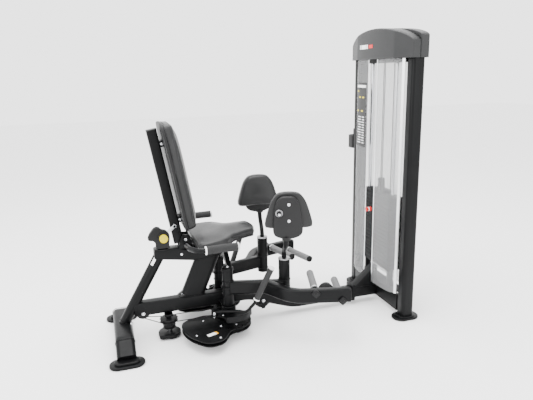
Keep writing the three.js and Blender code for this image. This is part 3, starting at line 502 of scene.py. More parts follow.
# %% Screws, washers and weld beads
def screw(centre, axis, radius=6.5, height=3.6):
    """A domed head with a hexagon socket, standing on `centre` and facing along `axis`."""
    axis, a, ring = spokes(axis, 36)
    flat = 0.46 * radius / np.cos((a % (pi / 3)) - pi / 6)
    whole = np.full(len(a), float(radius))
    radii = np.stack([whole, whole, whole * 0.93, whole * 0.76, flat * 1.08, flat, flat])
    heights = np.array([-0.5, 0.45, 0.75, 1.0, 1.0, 0.93, 0.35]) * height
    return shell(np.asarray(centre, float) + heights[:, None, None] * axis + radii[..., None] * ring)


def washer(centre, axis, inner, outer, thick):
    """A flat ring."""
    return turned([(inner, 0), (outer, 0), (outer, thick), (inner, thick)], centre, axis, 36, loop=True)


def bead(points, radius=2.4):
    """A weld bead on a closed line: a round section whose radius ripples every few millimetres."""
    points = np.asarray(points, float)
    ripple = radius * (1 + 0.16 * np.cos(np.arange(len(points)) * 2.1))
    section = circle(1, 8)[None] * ripple[:, None, None]
    normal = np.cross(points[1] - points[0], points[len(points) // 3] - points[0])
    return along(points, section, normal, loop=True)


def ring_bead(centre, axis, radius, bead_radius=2.4):
    """A weld bead round a bar."""
    return bead(np.asarray(centre) + radius * spokes(axis, 72)[2], bead_radius)


print("a screw has", len(screw((0, 0, 0), UP).quads), "quads")

# %% [markdown]
# ## The base frame
#
# The main beam is a rectangular tube that drops through one S bend towards the tower. Its section is
# carried along the bend, and its height changes a little on the way. Seams are weld beads, since every
# joint of the frame is welded.

# %% Main beam with its pivot plate
PIVOT_X = 1000 * JOINTS["near_arm_swing"]["pos_m"][0]
PIVOT_Y = 1000 * JOINTS["far_arm_swing"]["pos_m"][1]
BEAM_REAR, BEAM_DROP, BEAM_FRONT = 165.0, (-62.0, 196.0), 69.5
beam_box = np.array(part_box("base_beam")) * 1000
REAR_X, FRONT_X = beam_box[0][0], beam_box[1][0]


def beam_shells():
    path = bent([(REAR_X, 0, BEAM_REAR), (BEAM_DROP[0], 0, BEAM_REAR), (BEAM_DROP[1], 0, BEAM_FRONT),
                 (FRONT_X, 0, BEAM_FRONT)], 240, 14)
    share = np.clip((path[:, 0] - BEAM_DROP[0]) / (BEAM_DROP[1] - BEAM_DROP[0]), 0, 1)
    tall = rounded(60, 74, 11)
    low = rounded(60, 67, 11)
    section = tall + (low - tall) * share[:, None, None]
    turned_section = np.stack([section[..., 1], section[..., 0]], -1)
    tube = along(path, turned_section, ACROSS, soft=1.5)
    pivot_plate = slab(rounded(70, 2 * PIVOT_Y + 84, 30, 8) + (PIVOT_X, 0), 150, 162, "XY", 2)
    shells = [tube, pivot_plate]
    for s in SIDES.values():
        shells.append(collar(30.5, 38, 0, 28, (PIVOT_X, s * PIVOT_Y, 134), UP))
        hanger = np.array([(-18, 148), (-30, 118), (-9, 62), (9, 62), (30, 118), (30, 148)]) + (11, 0)
        shells.append(slab(hanger, s * 28, s * 28 + 4, "XZ", 1))
    return shells


piece("main_beam", beam_shells(), PAINT, "machine", ["base_beam"])
print("beam from", round(REAR_X), "to", round(FRONT_X), "mm")

# %% Pulley pins, flange and their screws
WASHER = 1.4
bright = []
for name in ("rear_pulley", "high_bend_pulley", "low_bend_pulley"):
    x, _, z = 1000 * np.array(JOINTS[name + "_spin"]["pos_m"])
    for s in SIDES.values():
        out = 32.5 if name == "high_bend_pulley" else 30
        bright.append(washer((x, s * out, z), (0, s, 0), 4, 9, WASHER))
        bright.append(screw((x, s * (out + WASHER), z), (0, s, 0), 7.5, 5))
for x, z in ((-432, 447), (-392, 467)):
    for s in SIDES.values():
        bright.append(screw((x, s * 32, z), (0, s, 0), 7.5, 4.5))
for s in SIDES.values():
    bright.append(screw((-407, s * 37, 527), (0, s, 0), 8, 5))
    bright.append(screw((-716, s * 38, 102), UP, 7.5, 5))
    bright.append(screw((745, s * 40, 30), (0, 0, -1), 7, 5))
piece("frame_screws", bright, STEEL, "machine")
flange = slab(rounded(84, 96, 8) + (0, BEAM_FRONT + 2), FRONT_X - 8, FRONT_X + 0.2, "YZ", 1.5)
piece("beam_flange", [flange], PAINT, "machine")
print("screws on the frame:", len(bright))

# %% [markdown]
# ## Rear stabilizer and the two legs of the seat
#
# A wide flat-oval tube is bent down at both ends and stands on oval feet. The round leg and the flat-oval
# post lean forward from it and from the beam, and carry the rail.

# %% Stabilizer and feet
STAB_X = -758.0


def oval_foot(x, y, length, width):
    """An oval plate with a lower raised oval on it, which the tube stands in."""
    plate = slab(rounded(length, width, width / 2 - 1, 14) + (x, y), 0, 12, "XY", 3)
    ridge = slab(rounded(length * 0.72, width * 0.66, width * 0.32, 14) + (x, y), 8, 24, "XY", 5)
    return [plate, ridge]


def stabilizer_shells():
    centre = bent([(STAB_X, -251, 27), (STAB_X, -172, 77), (STAB_X, 172, 77), (STAB_X, 251, 27)], 70, 10)
    shells = [along(centre, rounded(50, 94, 21, 8), ALONG)]
    for s in SIDES.values():
        shells += oval_foot(STAB_X, s * 262, 172, 96)
        normal = unit(np.array([0, s * 0.95, -0.31]))
        wide, tall = rounded(52, 96, 22, 10).T[..., None]
        seam = np.array([STAB_X, s * 178, 74.5]) + tall * ALONG + wide * np.cross(ALONG, normal)
        shells.append(bead(seam, 1.3))
    return shells


piece("stabilizer", stabilizer_shells(), PAINT, "machine", ["rear_stabilizer"])

# %% Leaning leg, seat post and rail
LEG_LOW, LEG_HIGH = np.array([-752.0, 0, 92]), np.array([-535.0, 0, 462])


def leaning_leg():
    foot = ring_bead(LEG_LOW + (8, 0, 12), LEG_HIGH - LEG_LOW, 29.5, 2)
    return [rod(LEG_LOW, LEG_HIGH, 29, 2, 40), foot]


def post_and_rail():
    post = along([(-386, 0, 196), (-268, 0, 462)], rounded(122, 56, 27, 10), ACROSS)
    side = np.array([(-572, 440), (-566, 434), (-372, 404.6), (-243, 410.6), (-212, 425), (-216, 436),
                     (-250, 466), (-380, 478), (-452, 484), (-566, 486), (-572, 480)])
    rail = slab(side, -32, 32, "XZ", 5)
    foot = rounded(140, 60, 29, 12) + (-386, 0)
    seam = bead(np.column_stack([foot, np.full(len(foot), 203.5)]), 2.6)
    ear = smooth([(-440, 480), (-376, 470), (-384, 545), (-402, 551), (-425, 545)], 40)
    ears = [slab(ear, *sorted((s * 22.5, s * 32)), "XZ", 1.5) for s in SIDES.values()]
    return [post, rail, seam, *ears]


piece("rear_leg", leaning_leg(), PAINT, "machine", ["rear_leg_tube"])
piece("seat_post_and_rail", post_and_rail(), PAINT, "machine", ["seat_frame"])
lean = unit(LEG_HIGH - LEG_LOW)
label_side = np.array([-lean[2], 0, lean[0]])
LABEL_RADIUS, LABEL_UNDER = 29.25, 28.6
a = np.linspace(-0.26, 0.26, 9) - 0.9
label_face = (np.cos(a)[:, None] * label_side + np.sin(a)[:, None] * np.array([0, 1, 0])) * LABEL_RADIUS
label_ring = np.vstack([label_face, label_face[::-1] * (LABEL_UNDER / LABEL_RADIUS)])
tape = shell(np.stack([label_ring + LEG_LOW + lean * t for t in np.linspace(352, 402, 5)]))
piece("leg_label", [tape], WHITE, "machine")
print("rail and post made")

# %% Pivot yoke
def yoke_shells():
    shells = []
    for s in SIDES.values():
        arm = np.array([(0, 431), (0, 396), (s * 92, 357), (s * 124, 357), (s * 124, 372), (s * 104, 373),
                        (s * 30, 432)])
        shells.append(slab(arm, PIVOT_X + 0.5, PIVOT_X + 26, "YZ", 3))
        top = (PIVOT_X, s * PIVOT_Y, 356.4)
        cap = [(30, 0), (31, 1), (31, 13), (28, 16), (25, 16.6), (24, 14.5), (12, 14.5)]
        shells.append(turned(cap, top, UP, 48))
        for t in np.arange(6) * pi / 3 + 0.3:
            at = (PIVOT_X + 18 * cos(t), s * PIVOT_Y + 18 * sin(t), 370.9)
            shells.append(screw(at, UP, 4.6, 3.5))
    return shells


piece("yoke", yoke_shells(), PAINT, "machine", ["pivot_yoke"])
yoke_caps = [screw((PIVOT_X, s * PIVOT_Y, 371.5), UP, 7.5, 6) for s in SIDES.values()]
piece("yoke_caps", yoke_caps, STEEL, "machine")

# %% [markdown]
# ## Leg arms
#
# Both arms are the same weldment, mirrored. Everything on an arm is drawn in the arm's own frame: u runs
# along it, v points outwards and z is up. Placing it turns it out by 16 degrees from the machine's length.

# %% The arm's own frame
ARM_ANGLE = radians(16)
LEVEL = {"near": 59, "far": 95}


def arm_axes(s):
    """Rows u, v, z of the arm's frame in the machine's frame."""
    c, d = cos(ARM_ANGLE), sin(ARM_ANGLE)
    return [(c, s * d, 0), (-d, s * c, 0), UP]


def on_arm(shells, s):
    return placed(shells, (PIVOT_X, s * PIVOT_Y, 0), arm_axes(s))


# %% Column, tube, sleeve and foot tube
TUBE_Z, SLEEVE_U = 261.5, 300


def arm_shells(level):
    """The column, its collar, the straight tube, the bent foot tube, the sleeve and four weld beads."""
    foot_path = bent([(150, 10, TUBE_Z), (204, 10, TUBE_Z), (332, 147, TUBE_Z), (625, 147, TUBE_Z)], 150, 12)
    sleeve = [(13.3, 0), (29, 0), (30.5, 1.5), (30.5, 212), (29, 213), (13.3, 213)]
    return [
        rod((0, 0, level - 15), (0, 0, 118), 24, 1),
        rod((0, 0, 110), (0, 0, 355.6), 29, 1.5, 48),
        collar(28, 37, 0, 8, (0, 0, 262), UP),
        along([(12, 10, TUBE_Z), (292, 10, TUBE_Z)], rounded(48, 71, 14), soft=0.5),
        along(foot_path, rounded(49, 71.5, 14), soft=2),
        turned(sleeve, (SLEEVE_U, 0, 201), UP, 48, loop=True),
        *(ring_bead((u, 0, z), UP, r) for u, r in ((SLEEVE_U, 31), (0, 30)) for z in (298, 225)),
    ]


for side, s in SIDES.items():
    body = f"{side}_arm"
    piece(f"arm_weldment_{side}", on_arm(arm_shells(LEVEL[side]), s), PAINT, body, [f"leg_arm_{side}"])
    profile = [(13.6, 0), (30.8, 0), (31.8, 1.2), (31.8, 5.5), (29.5, 8), (16, 9.5), (13.6, 9.5)]
    bush = turned(profile, (SLEEVE_U, 0, 410), UP, 48, loop=True)
    piece(f"sleeve_collar_{side}", on_arm([bush], s), DARK_STEEL, body)
    plug = slab(rounded(44, 66, 12) + (147, TUBE_Z), 624, 628.5, "YZ", 2)
    piece(f"foot_tube_plug_{side}", on_arm([plug], s), BLACK, body)
print("arm weldments placed")

# %% Foot pegs
PEGS = {"rear": (447, 284), "front": (582, 240)}
for side, s in SIDES.items():
    body = f"{side}_arm"
    for name, (u, z) in PEGS.items():
        tread = [(12, -97), (17.5, -97), (19, -95), (19, 106), (18, 110), (17.2, 112), (12, 112)]
        rubber = turned(tread, (u, 0, z), ACROSS, 40, loop=True)
        piece(f"peg_rubber_{name}_{side}", on_arm([rubber], s), PEG, body, [f"{name}_foot_peg_{side}"])
        knob = [(1, -102), (15, -102), (19, -100.5), (19.4, -97), (19.4, -92), (12, -92)]
        on_edge = rounded(33, 33, 5) @ np.array([(1, 1), (-1, 1)]) / np.sqrt(2)
        ends = [turned(knob, (u, 0, z), ACROSS, 40), rod((u, 100, z), (u, 124, z), 14, 0.5),
                slab(on_edge + (u, z), 171.6, 184, "XZ", 2.5),
                turned([(1, 0), (8, 0), (9, 1), (9, 2.5), (6, 4.5)], (u, 183, z), ACROSS, 30)]
        piece(f"peg_ends_{name}_{side}", on_arm(ends, s), BLACK, body)
        profile = [(14, 0), (19.4, 0), (20, 0.8), (20, 4.2), (19.4, 5), (14, 5)]
        band = turned(profile, (u, 112, z), ACROSS, 40, loop=True)
        piece(f"peg_band_{name}_{side}", on_arm([band], s), ALUMINIUM, body)
print("pegs:", 2 * len(PEGS))

# %% [markdown]
# ## Cams, range brackets and range levers
#
# Each cam is a pair of D-shaped plates with a grooved core between them, and a row of holes for the
# range pin. The holes are cut through the plates, because light shows through them.

# %% Cam outline
CAM_WING = [(10, 112), (-24, 128), (-68, 192), (-110, 214), (-160, 210), (-205, 165), (-240, 105), (-258, 30),
            (-252, -30), (-228, -62), (-185, -82), (-125, -95)]
HOLE_ANGLES, HOLE_RING = np.radians([20, 42, 64, 86, 108, 130]), 106


def cam_outline():
    """The wing joined to a disc: a smooth curve at the back, and an arc of radius 117 round the front."""
    wing = smooth(CAM_WING, 56, loop=False)
    a = np.linspace(radians(-132), radians(84), 44)
    disc = 117 * np.stack([np.cos(a), np.sin(a)], -1)
    return np.vstack([wing, disc])


def drilled(obj, centres, radius, low, high):
    """Cuts round holes along Z through a piece, all at once."""
    cutters = [turned([(radius, low), (radius, high)], (x, y, 0), UP, 20) for x, y in centres]
    cutter = bpy.data.objects.new("cutter", make_mesh("cutter", cutters))
    bpy.context.scene.collection.objects.link(cutter)
    cut = obj.modifiers.new("holes", "BOOLEAN")
    cut.object, cut.solver = cutter, "EXACT"
    bpy.context.view_layer.update()
    new = bpy.data.meshes.new_from_object(obj.evaluated_get(bpy.context.evaluated_depsgraph_get()))
    obj.modifiers.clear()
    obj.data = new
    shade(obj.data)
    bpy.data.objects.remove(cutter)
    return obj


# %% Cams
CAM_SCREWS = [(-200, 120, 6.5, 3.5), (-90, 180, 6.5, 3.5), (-60, 60, 6.5, 3.5), (-70, -50, 6.5, 3.5),
              (-138, -30, 5, 3), (20, 70, 5, 3)]
TAG_TURN = np.array([(0.94, -0.34), (0.34, 0.94)])
for side, s in SIDES.items():
    level = LEVEL[side]
    outline = cam_outline() * (1, s)
    plates = [slab(outline, level + d, level + d + 6, "XY", 1.2) for d in (-13, 7)]
    at = (PIVOT_X, s * PIVOT_Y, 0)
    cam = piece(f"cam_plates_{side}", placed(plates, at), PAINT, f"{side}_arm", [f"cable_cam_{side}"])
    holes = [(PIVOT_X + HOLE_RING * cos(t), s * (PIVOT_Y + HOLE_RING * sin(t))) for t in HOLE_ANGLES]
    drilled(cam, holes, 5.5, level - 20, level + 20)
    groove = [(24, -7), (104, -7), (104, -3.5), (100, -2), (100, 2), (104, 3.5), (104, 7), (24, 7)]
    core = [turned(groove, (0, 0, level), UP, 72, loop=True)]
    core += [rod((x, s * y, level - 7), (x, s * y, level + 7), 9) for x, y in ((-200, 120), (-90, 180))]
    piece(f"cam_core_{side}", placed(core, at), BLACK, f"{side}_arm")
    heads = [screw((x, s * y, level + 13), UP, r, h) for x, y, r, h in CAM_SCREWS]
    piece(f"cam_screws_{side}", placed(heads, at), STEEL, f"{side}_arm")
    for name, x0, x1, finish in (("cam_label", -196, -150, WHITE), ("cam_label_end", -150, -138, ORANGE)):
        tag = np.array([(x0, 74), (x1, 74), (x1, 98), (x0, 98)]) @ TAG_TURN + (8, -8)
        tile = slab(tag * (1, s), level + 13, level + 13.3, "XY", 0.1)
        piece(f"{name}_{side}", placed([tile], at), finish, f"{side}_arm")
print("cams with", len(HOLE_ANGLES), "range holes each")

# %% Range brackets
BRACKET_Z = 112


def bracket_shells():
    """A base plate round the column, a curved guard wall on it, and a pointed plate behind."""
    z = BRACKET_Z
    a = np.radians(np.linspace(12, 93, 20))
    arc = np.stack([np.cos(a), np.sin(a)], -1)
    plate = np.vstack([[(-92, -10), (-40, -38), (60, -20)], 124 * arc, [(-20, 66), (-92, 43)]])
    wall = np.vstack([124 * arc, 117 * arc[::-1]])
    ear = np.array([(-92, z), (-92, 150), (-80, 162), (-70, 184), (-60, 162), (-56, z)])
    web = np.array([(2, z + 3), (42, z + 3), (42, z + 8), (10, z + 30), (2, z + 30)])
    return [slab(plate, z, z + 6, "XY", 1.5), slab(wall, z + 3, 143, "XY", 1.5), slab(ear, 36, 43, "XZ", 1.5),
            slab(web, -91, -85, "YZ", 1), collar(29.4, 35, 0, 16, (0, 0, z + 5), UP)]


GRIP_LOW, GRIP_HIGH = np.array([150, 114.1, 238.0]), np.array([231, 128.5, 414.5])


def lever_shells():
    """A bent handle that is pulled up from the guard wall to lift the range pin."""
    path = bent([(-74, 54, 140), (-40, 58, 146), (20, 72, 152), (96, 92, 157), (138, 112, 214), GRIP_LOW],
                34, 8)
    hub = collar(6.4, 13, -9, 9, (-74, 54, 140), ACROSS, count=32)
    return [along(path, circle(8.5, 20), (0.1, -0.3, 1), 1), rod((-74, 30, 140), (-74, 66, 140), 6, 0.8), hub]


for side, s in SIDES.items():
    arm, lever = f"{side}_arm", f"{side}_lever"
    piece(f"range_bracket_{side}_plates", on_arm(bracket_shells(), s), PAINT, arm, [f"range_bracket_{side}"])
    piece(f"range_lever_{side}_bar", on_arm(lever_shells(), s), PAINT, lever, [f"range_lever_{side}"])
    way = unit(GRIP_HIGH - GRIP_LOW)
    length = np.linalg.norm(GRIP_HIGH - GRIP_LOW)
    profile = [(8, 0), (14, 0), (15.5, 2), (15.5, length - 12), (14.8, length - 9), (8, length - 9)]
    piece(f"lever_grip_{side}", on_arm([turned(profile, GRIP_LOW, way, 36, loop=True)], s), GRIP, lever)
    profile = [(9, 0), (15, 0), (16.3, 1.2), (16.3, 6), (15, 7.5), (9, 7.5)]
    band = turned(profile, GRIP_LOW - way * 5, way, 36, loop=True)
    piece(f"lever_bands_{side}", on_arm([band], s), WHITE, lever)
    profile = [(1, -9.5), (14.8, -9.5), (15.6, -8), (15.6, -2), (13, 0), (1, 0.6)]
    piece(f"lever_cap_{side}", on_arm([turned(profile, GRIP_HIGH, way, 36)], s), CLEAR_CAP, lever)
    bolt = screw((-74, 66, 140), ACROSS, 8.5, 6)
    piece(f"range_screws_{side}", on_arm([bolt], s), STEEL, lever)
    screws = [screw((u, 44, BRACKET_Z + 6), UP, 6, 4) for u in (-30, 92)]
    piece(f"bracket_screws_{side}", on_arm(screws, s), STEEL, arm)
print("range levers on both sides")

# %% [markdown]
# ## Thigh pads without their cushions
#
# Each pad hangs on a bent post that turns in the sleeve. A plastic cover with a tongue holds the post,
# and a pop-pin sets which way the pad faces. The cover is one outline carried outwards through a few
# insets, so its rim is rounded and its face is slightly domed.

# %% Posts, covers and pins
COVER_OUTLINE = [(-66, 640), (-62, 690), (-50, 740), (-30, 764), (0, 768), (30, 764), (50, 740), (62, 690),
                 (68, 640), (70, 590), (58, 566), (30, 553), (0, 550), (-30, 553), (-58, 566), (-68, 590)]
COVER_STRETCH, COVER_U, POST_U, POST_V = 1.08, 315, 306, 92


def domed(outline, low, high, plane, soft, crown=2.0):
    """Rings that draw in from the rim: quarter round below, quarter round above, then a shallow dome."""
    outline = counter_clockwise(outline)
    centre = outline.mean(0)
    a = np.linspace(0, pi / 2, 6)
    under = [(0, 2.0, low), (0, 0.6, low + 0.6), (0, 0, low + 2)]
    over = [(0, soft * (1 - cos(t)), high - crown - soft * (1 - sin(t))) for t in a]
    dome = [(f, soft, high - crown + crown * (1 - (1 - f) ** 2)) for f in (0.08, 0.3, 0.55, 0.8, 0.95)]
    rings = []
    for f, d, h in under + over + dome:
        ring = inset(outline, d)
        rings.append(np.column_stack([ring + (centre - ring) * f, np.full(len(ring), h)]))
    return shell(np.stack(rings)[..., ORDER[plane]])


PAD_TURN = {"near": 0.0, "far": radians(-22)}


def pad_frame(side, s, mirrored):
    """The arm's frame turned about its sleeve. Both pads are one part, so the far one is mirrored in u."""
    u, v, z = np.array(arm_axes(s), float)
    t = PAD_TURN[side]
    ahead, out = cos(t) * u + sin(t) * v, cos(t) * v - sin(t) * u
    sleeve = np.array([PIVOT_X, s * PIVOT_Y, 0]) + SLEEVE_U * u
    if mirrored and side == "far":
        return sleeve + (2 * POST_U - SLEEVE_U) * ahead, [-ahead, out, z]
    return sleeve - SLEEVE_U * ahead, [ahead, out, z]


for side, s in SIDES.items():
    pad = f"{side}_pad"
    path = [(SLEEVE_U, 0, 252), (SLEEVE_U, 0, 452), (POST_U, POST_V, 516), (POST_U, POST_V, 640)]
    post = along(bent(path, 60, 12), circle(12.5, 28), ALONG, 1)
    piece(f"thigh_post_{side}_tube", placed([post], *pad_frame(side, s, False)), PAINT, f"{side}_arm",
          [f"thigh_post_{side}"])
    place = pad_frame(side, s, True)
    outline = smooth(np.array(COVER_OUTLINE) * (COVER_STRETCH, 1), 96) + (COVER_U, 0)
    socket = [(13.4, 0), (19.5, 0), (21, 2), (21, 16), (13.4, 16)]
    cover = [domed(outline, 77, 106, "XZ", 9),
             turned(socket, (POST_U, POST_V, 543), UP, 36, loop=True)]
    piece(f"pad_cover_{side}", placed(cover, *place), COVER, pad, [f"thigh_cover_{side}"])
    bolts = [screw((321, 105.6, z), ACROSS, 8, 3.4) for z in (645, 729)]
    piece(f"pad_screws_{side}", placed(bolts, *place), STEEL, pad)
    pin_at = (272, 0, 686)
    profile = [(1, 134), (8, 134), (10.6, 132.5), (11, 130), (10, 122), (10.6, 120.5), (9, 119), (1, 119)]
    knob = turned(profile, pin_at, ACROSS, 36)
    piece(f"pad_pin_knob_{side}", placed([knob], *place), BLACK, f"{side}_pad_pin", [f"thigh_pin_{side}"])
    centre = turned([(1, 134.6), (5.2, 134.6), (6.4, 133.8), (6.4, 128), (1, 128)], pin_at, ACROSS, 28)
    piece(f"pad_pin_centre_{side}", placed([centre], *place), STEEL, f"{side}_pad_pin")
    profile = [(12.2, 104), (18, 104), (19, 106), (19, 108.5), (16.5, 111), (12.2, 111)]
    ring = turned(profile, pin_at, ACROSS, 40, loop=True)
    piece(f"pad_pin_collar_{side}", placed([ring], *place), DARK_STEEL, pad)
print("pad covers made")

# %% [markdown]
# ## Seat, handles and backrest frame
#
# The seat and the backrest are drawn level and upright, then leaned back. The handles are one bent
# tube that crosses under the seat, with a rubber grip pushed onto each end.

# %% Handles
HANDLE_Y, HANDLE_Z = 317, 553
half_bar = [(-192, HANDLE_Y, HANDLE_Z), (-392, HANDLE_Y, HANDLE_Z - 2), (-420, 250, 547), (-418, 120, 522),
            (-392, 74, 482), (-345, 44, 480)]
mirrored = [(x, -y, z) for x, y, z in half_bar]
bar_path = bent(mirrored + half_bar[::-1], 46, 10)
piece("handle_tube", [along(bar_path, circle(12.5, 28), (0, 0.15, 1), 1)], PAINT, "machine", ["handle_bar"])
for side, s in SIDES.items():
    low, high = np.array([-352, s * HANDLE_Y, HANDLE_Z - 1.6]), np.array([-191.5, s * HANDLE_Y, HANDLE_Z])
    way = unit(high - low)
    length = np.linalg.norm(high - low)
    ribs = [(13.4, 0), (18.6, 0), (20, 2)]
    for d in np.arange(14, length - 14, 7.5):
        ribs += [(20, d), (19.2, d + 1), (20, d + 2)]
    ribs += [(20, length - 9), (13.4, length - 9)]
    grip = turned(ribs, low, way, 40, loop=True)
    piece(f"handle_rubber_{side}", [grip], GRIP, "machine", [f"handle_grip_{side}"])
    profile = [(12.9, 0), (18.8, 0), (20.5, 1.2), (20.5, 5.4), (18.8, 6.6), (12.9, 6.6)]
    ring = turned(profile, low - way * 6.4, way, 40, loop=True)
    piece(f"handle_ring_{side}", [ring], WHITE, "machine")
    cap = turned([(1, -9.5), (19.2, -9.5), (20.6, -8), (20.6, -2.5), (17.5, -0.5), (1, 0)], high, way, 40)
    piece(f"handle_cap_{side}", [cap], CLEAR_CAP, "machine")
print("grips on the handles")

# %% Seat board, backrest tube and board
def leaned(degrees):
    """Rows x, y, z of a frame leaned back by some degrees."""
    t = radians(degrees)
    return [(cos(t), 0, sin(t)), ACROSS, (-sin(t), 0, cos(t))]


SEAT_AT, SEAT_AXES = (-375, 0, 490), leaned(4)
BACK_AT, BACK_AXES = (-407, 0, 527), leaned(9.7)
SEAT_HALF = [(336, 80), (290, 96), (222, 118), (168, 176), (90, 203), (14, 197), (0, 150)]
SEAT_PLAN = [(-2, 0), *((x, -y) for x, y in SEAT_HALF[::-1]), (352, 0), *SEAT_HALF]
seat_outline = smooth(SEAT_PLAN, 120)
board = slab(inset(counter_clockwise(seat_outline), 12), 4, 17.2, "XY", 3)
piece("seat_pan", placed([board], SEAT_AT, SEAT_AXES), BOARD, "machine", ["seat_board"])
pan_screws = [screw((x, y, 4), (0, 0, -1), 7, 4) for x in (40, 130) for y in (-60, 60)]
piece("seat_pan_screws", placed(pan_screws, SEAT_AT, SEAT_AXES), STEEL, "machine")

tube = along([(-34, 0, -14), (-34, 0, 586)], rounded(40, 52, 10), ALONG, 1)
lug = slab(smooth([(-16, -12), (6, -14), (15, 0), (8, 13), (-10, 16)], 32), -18, 18, "XZ", 2)
BRACKETS = (96, 496)
brackets = [block(-10, 4.4, -30, 30, z, z + 32, 2.5) for z in BRACKETS]
piece("back_post", placed([tube, lug, *brackets], BACK_AT, BACK_AXES), PAINT, "backrest", ["back_tube"])
tube_cap = slab(rounded(53, 41, 10) + (-34, 0), 585.4, 592, "XY", 2)
piece("back_post_cap", placed([tube_cap], BACK_AT, BACK_AXES), SHROUD, "backrest")
side_screws = [screw((-3, s * 30, z + 16), (0, s, 0), 7, 5) for z in BRACKETS for s in SIDES.values()]
piece("back_screws", placed(side_screws, BACK_AT, BACK_AXES), STEEL, "backrest")


def back_outline(grow=0.0):
    """Square at the bottom, widest at 420 mm, and drawn in to a narrow round top."""
    w, low, high = 146 + grow, 62 - grow, 622 + grow
    half = [(0, low), (w - 60, low), (w - 18, low + 3), (w - 3, low + 17), (w, low + 45), (w + 4, 300),
            (w + 6, 420), (w + 1, 500), (w - 14, 560), (w - 38, 602), (w - 66, high - 3), (w - 100, high),
            (0, high)]
    return smooth(half + [(-y, z) for y, z in half[-2:0:-1]], 120)


pan = slab(back_outline(-5), 4.5, 18.2, "YZ", 3)
piece("back_pan", placed([pan], BACK_AT, BACK_AXES), BOARD, "backrest", ["back_board"])
print("seat and back boards made")

# %% Recline strut, housing and knob
STRUT_PIN, KNOB = np.array([-459, 0, 604.0]), np.array([-523, 0, 556.0])
strut_way = unit(STRUT_PIN - KNOB)
STRUT_AXES = [tuple(strut_way), ACROSS, tuple(np.cross(strut_way, ACROSS))]
strut = [slab(rounded(138, 16, 7) + (-61, 0), -34.5, -28.5, "XZ", 1), rod((0, -34.5, 0), (0, -21, 0), 10)]
piece("strut_bar", placed(strut, STRUT_PIN, STRUT_AXES), STEEL, "recline_link", ["recline_strut"])
fan = smooth([(-556, 487.5), (-498, 487.5), (-493, 520), (-489, 548), (-492, 572), (-508, 588), (-528, 595),
              (-540, 606), (-556, 609), (-572, 599), (-590, 576), (-599, 553), (-592, 543), (-572, 538),
              (-562, 520)], 90)
boss = [(14, 0), (24, 0), (25, 1.5), (25, 5), (22, 7), (14, 7)]
plates = [slab(fan, -48, -38, "XZ", 3), slab(fan, -24, -20.6, "XZ", 1),
          block(-556, -500, -48, -20.6, 487.5, 498),
          turned(boss, (KNOB[0], -48, KNOB[2]), (0, -1, 0), 48, loop=True)]
piece("recline_fan", plates, BLACK, "machine", ["recline_housing"])
rings = [(1, 84), (14, 84), (14.6, 83.2), (15.4, 84), (18.6, 83.6), (20.6, 82), (21, 79), (21, 66),
         (19.5, 63), (12, 62), (10, 58), (9.6, 55.2), (1, 55.2)]
piece("knob", [turned(rings, KNOB, (0, -1, 0), 48)], YELLOW, "recline_button", ["recline_knob"])
dial = turned([(1, 84.4), (6.4, 84.4), (7, 84), (7, 83), (1, 83)], KNOB, (0, -1, 0), 36)
piece("knob_face", [dial], YELLOW, "recline_button")
print("recline strut from", KNOB.tolist(), "to", STRUT_PIN.tolist())

# %% [markdown]
# ## Weight tower
#
# Two wide uprights stand on oval feet. They are plain extrusions with generous corner radii, which is
# what gives them their long soft highlights.

# %% Uprights, feet and bottle holder
TOWER_X, UPRIGHT_Y = 768, 284
FRONT, REAR = TOWER_X - 36.5, TOWER_X + 36.5
UPRIGHT_TOP = 1480
for side, s in SIDES.items():
    post = slab(rounded(73, 67, 20, 10) + (TOWER_X, s * UPRIGHT_Y), 8, UPRIGHT_TOP, "XY", 1)
    foot = slab(rounded(152, 104, 50, 16) + (TOWER_X, s * UPRIGHT_Y), 0, 12, "XY", 3.5)
    boss = slab(rounded(100, 88, 32, 14) + (TOWER_X, s * UPRIGHT_Y), 9, 19, "XY", 4)
    piece(f"upright_{side}", [post, foot, boss], PAINT, "machine", [f"tower_upright_{side}"])
print("uprights", UPRIGHT_TOP, "mm high")

rim = [(0.5, 885), (0, 890), (0, 962), (1.5, 965), (6, 965), (7, 962), (7, 893)]
cup_outline = counter_clockwise(rounded(76, 82, 22, 8) + (772, 358.8))
rings = [np.column_stack([inset(cup_outline, d), np.full(len(cup_outline), h)]) for d, h in rim]
cup = shell(np.stack(rings))
hook_path = [(742, 324, 940), (742, 324, 1004), (758, 340, 1008), (764, 352, 1003)]
hook = along(hook_path, rounded(12, 7, 3), (0, 1, 0.2), 1)
piece("bottle_cup", [cup, hook], BLACK, "machine", ["bottle_holder"])

# %% Tower base, top beam, guide rods and posts
STACK_X, ROD_Y = 757, 130
gusset = np.array([(575, 101), (733, 101), (733, 222), (726, 225), (704, 214), (590, 112)])
base = [block(FRONT, FRONT + 28, -250, 250, 30, 120, 3), slab(gusset, -30, 30, "XZ", 3),
        slab(rounded(60, 67, 11) + (0, 69.5), FRONT_X + 0.4, FRONT + 2, "YZ", 1),
        slab(rounded(84, 96, 8) + (0, 71.5), FRONT_X + 0.4, FRONT_X + 9, "YZ", 1.5),
        block(FRONT, 816, -210, 210, 120, 128, 1.5), block(FRONT + 20, 812, -25, -17, 62, 122, 1),
        block(FRONT + 20, 812, 17, 25, 62, 122, 1)]
piece("tower_foot_beam", base, PAINT, "machine", ["tower_base"])
profile = [(11, 126), (18, 126), (19, 128), (19, 232), (17, 236), (11, 236)]
buffers = [turned(profile, (STACK_X, s * ROD_Y, 0), UP, 36, loop=True) for s in SIDES.values()]
piece("stack_buffers", buffers, BLACK, "machine")
top = [block(FRONT, REAR, -250, 250, 1400, 1440, 3)]
top += [block(772, 808, y, y + 8, 1436, 1478, 1) for y in (-26, 18)]
piece("tower_head_beam", top, PAINT, "machine", ["tower_top_beam"])
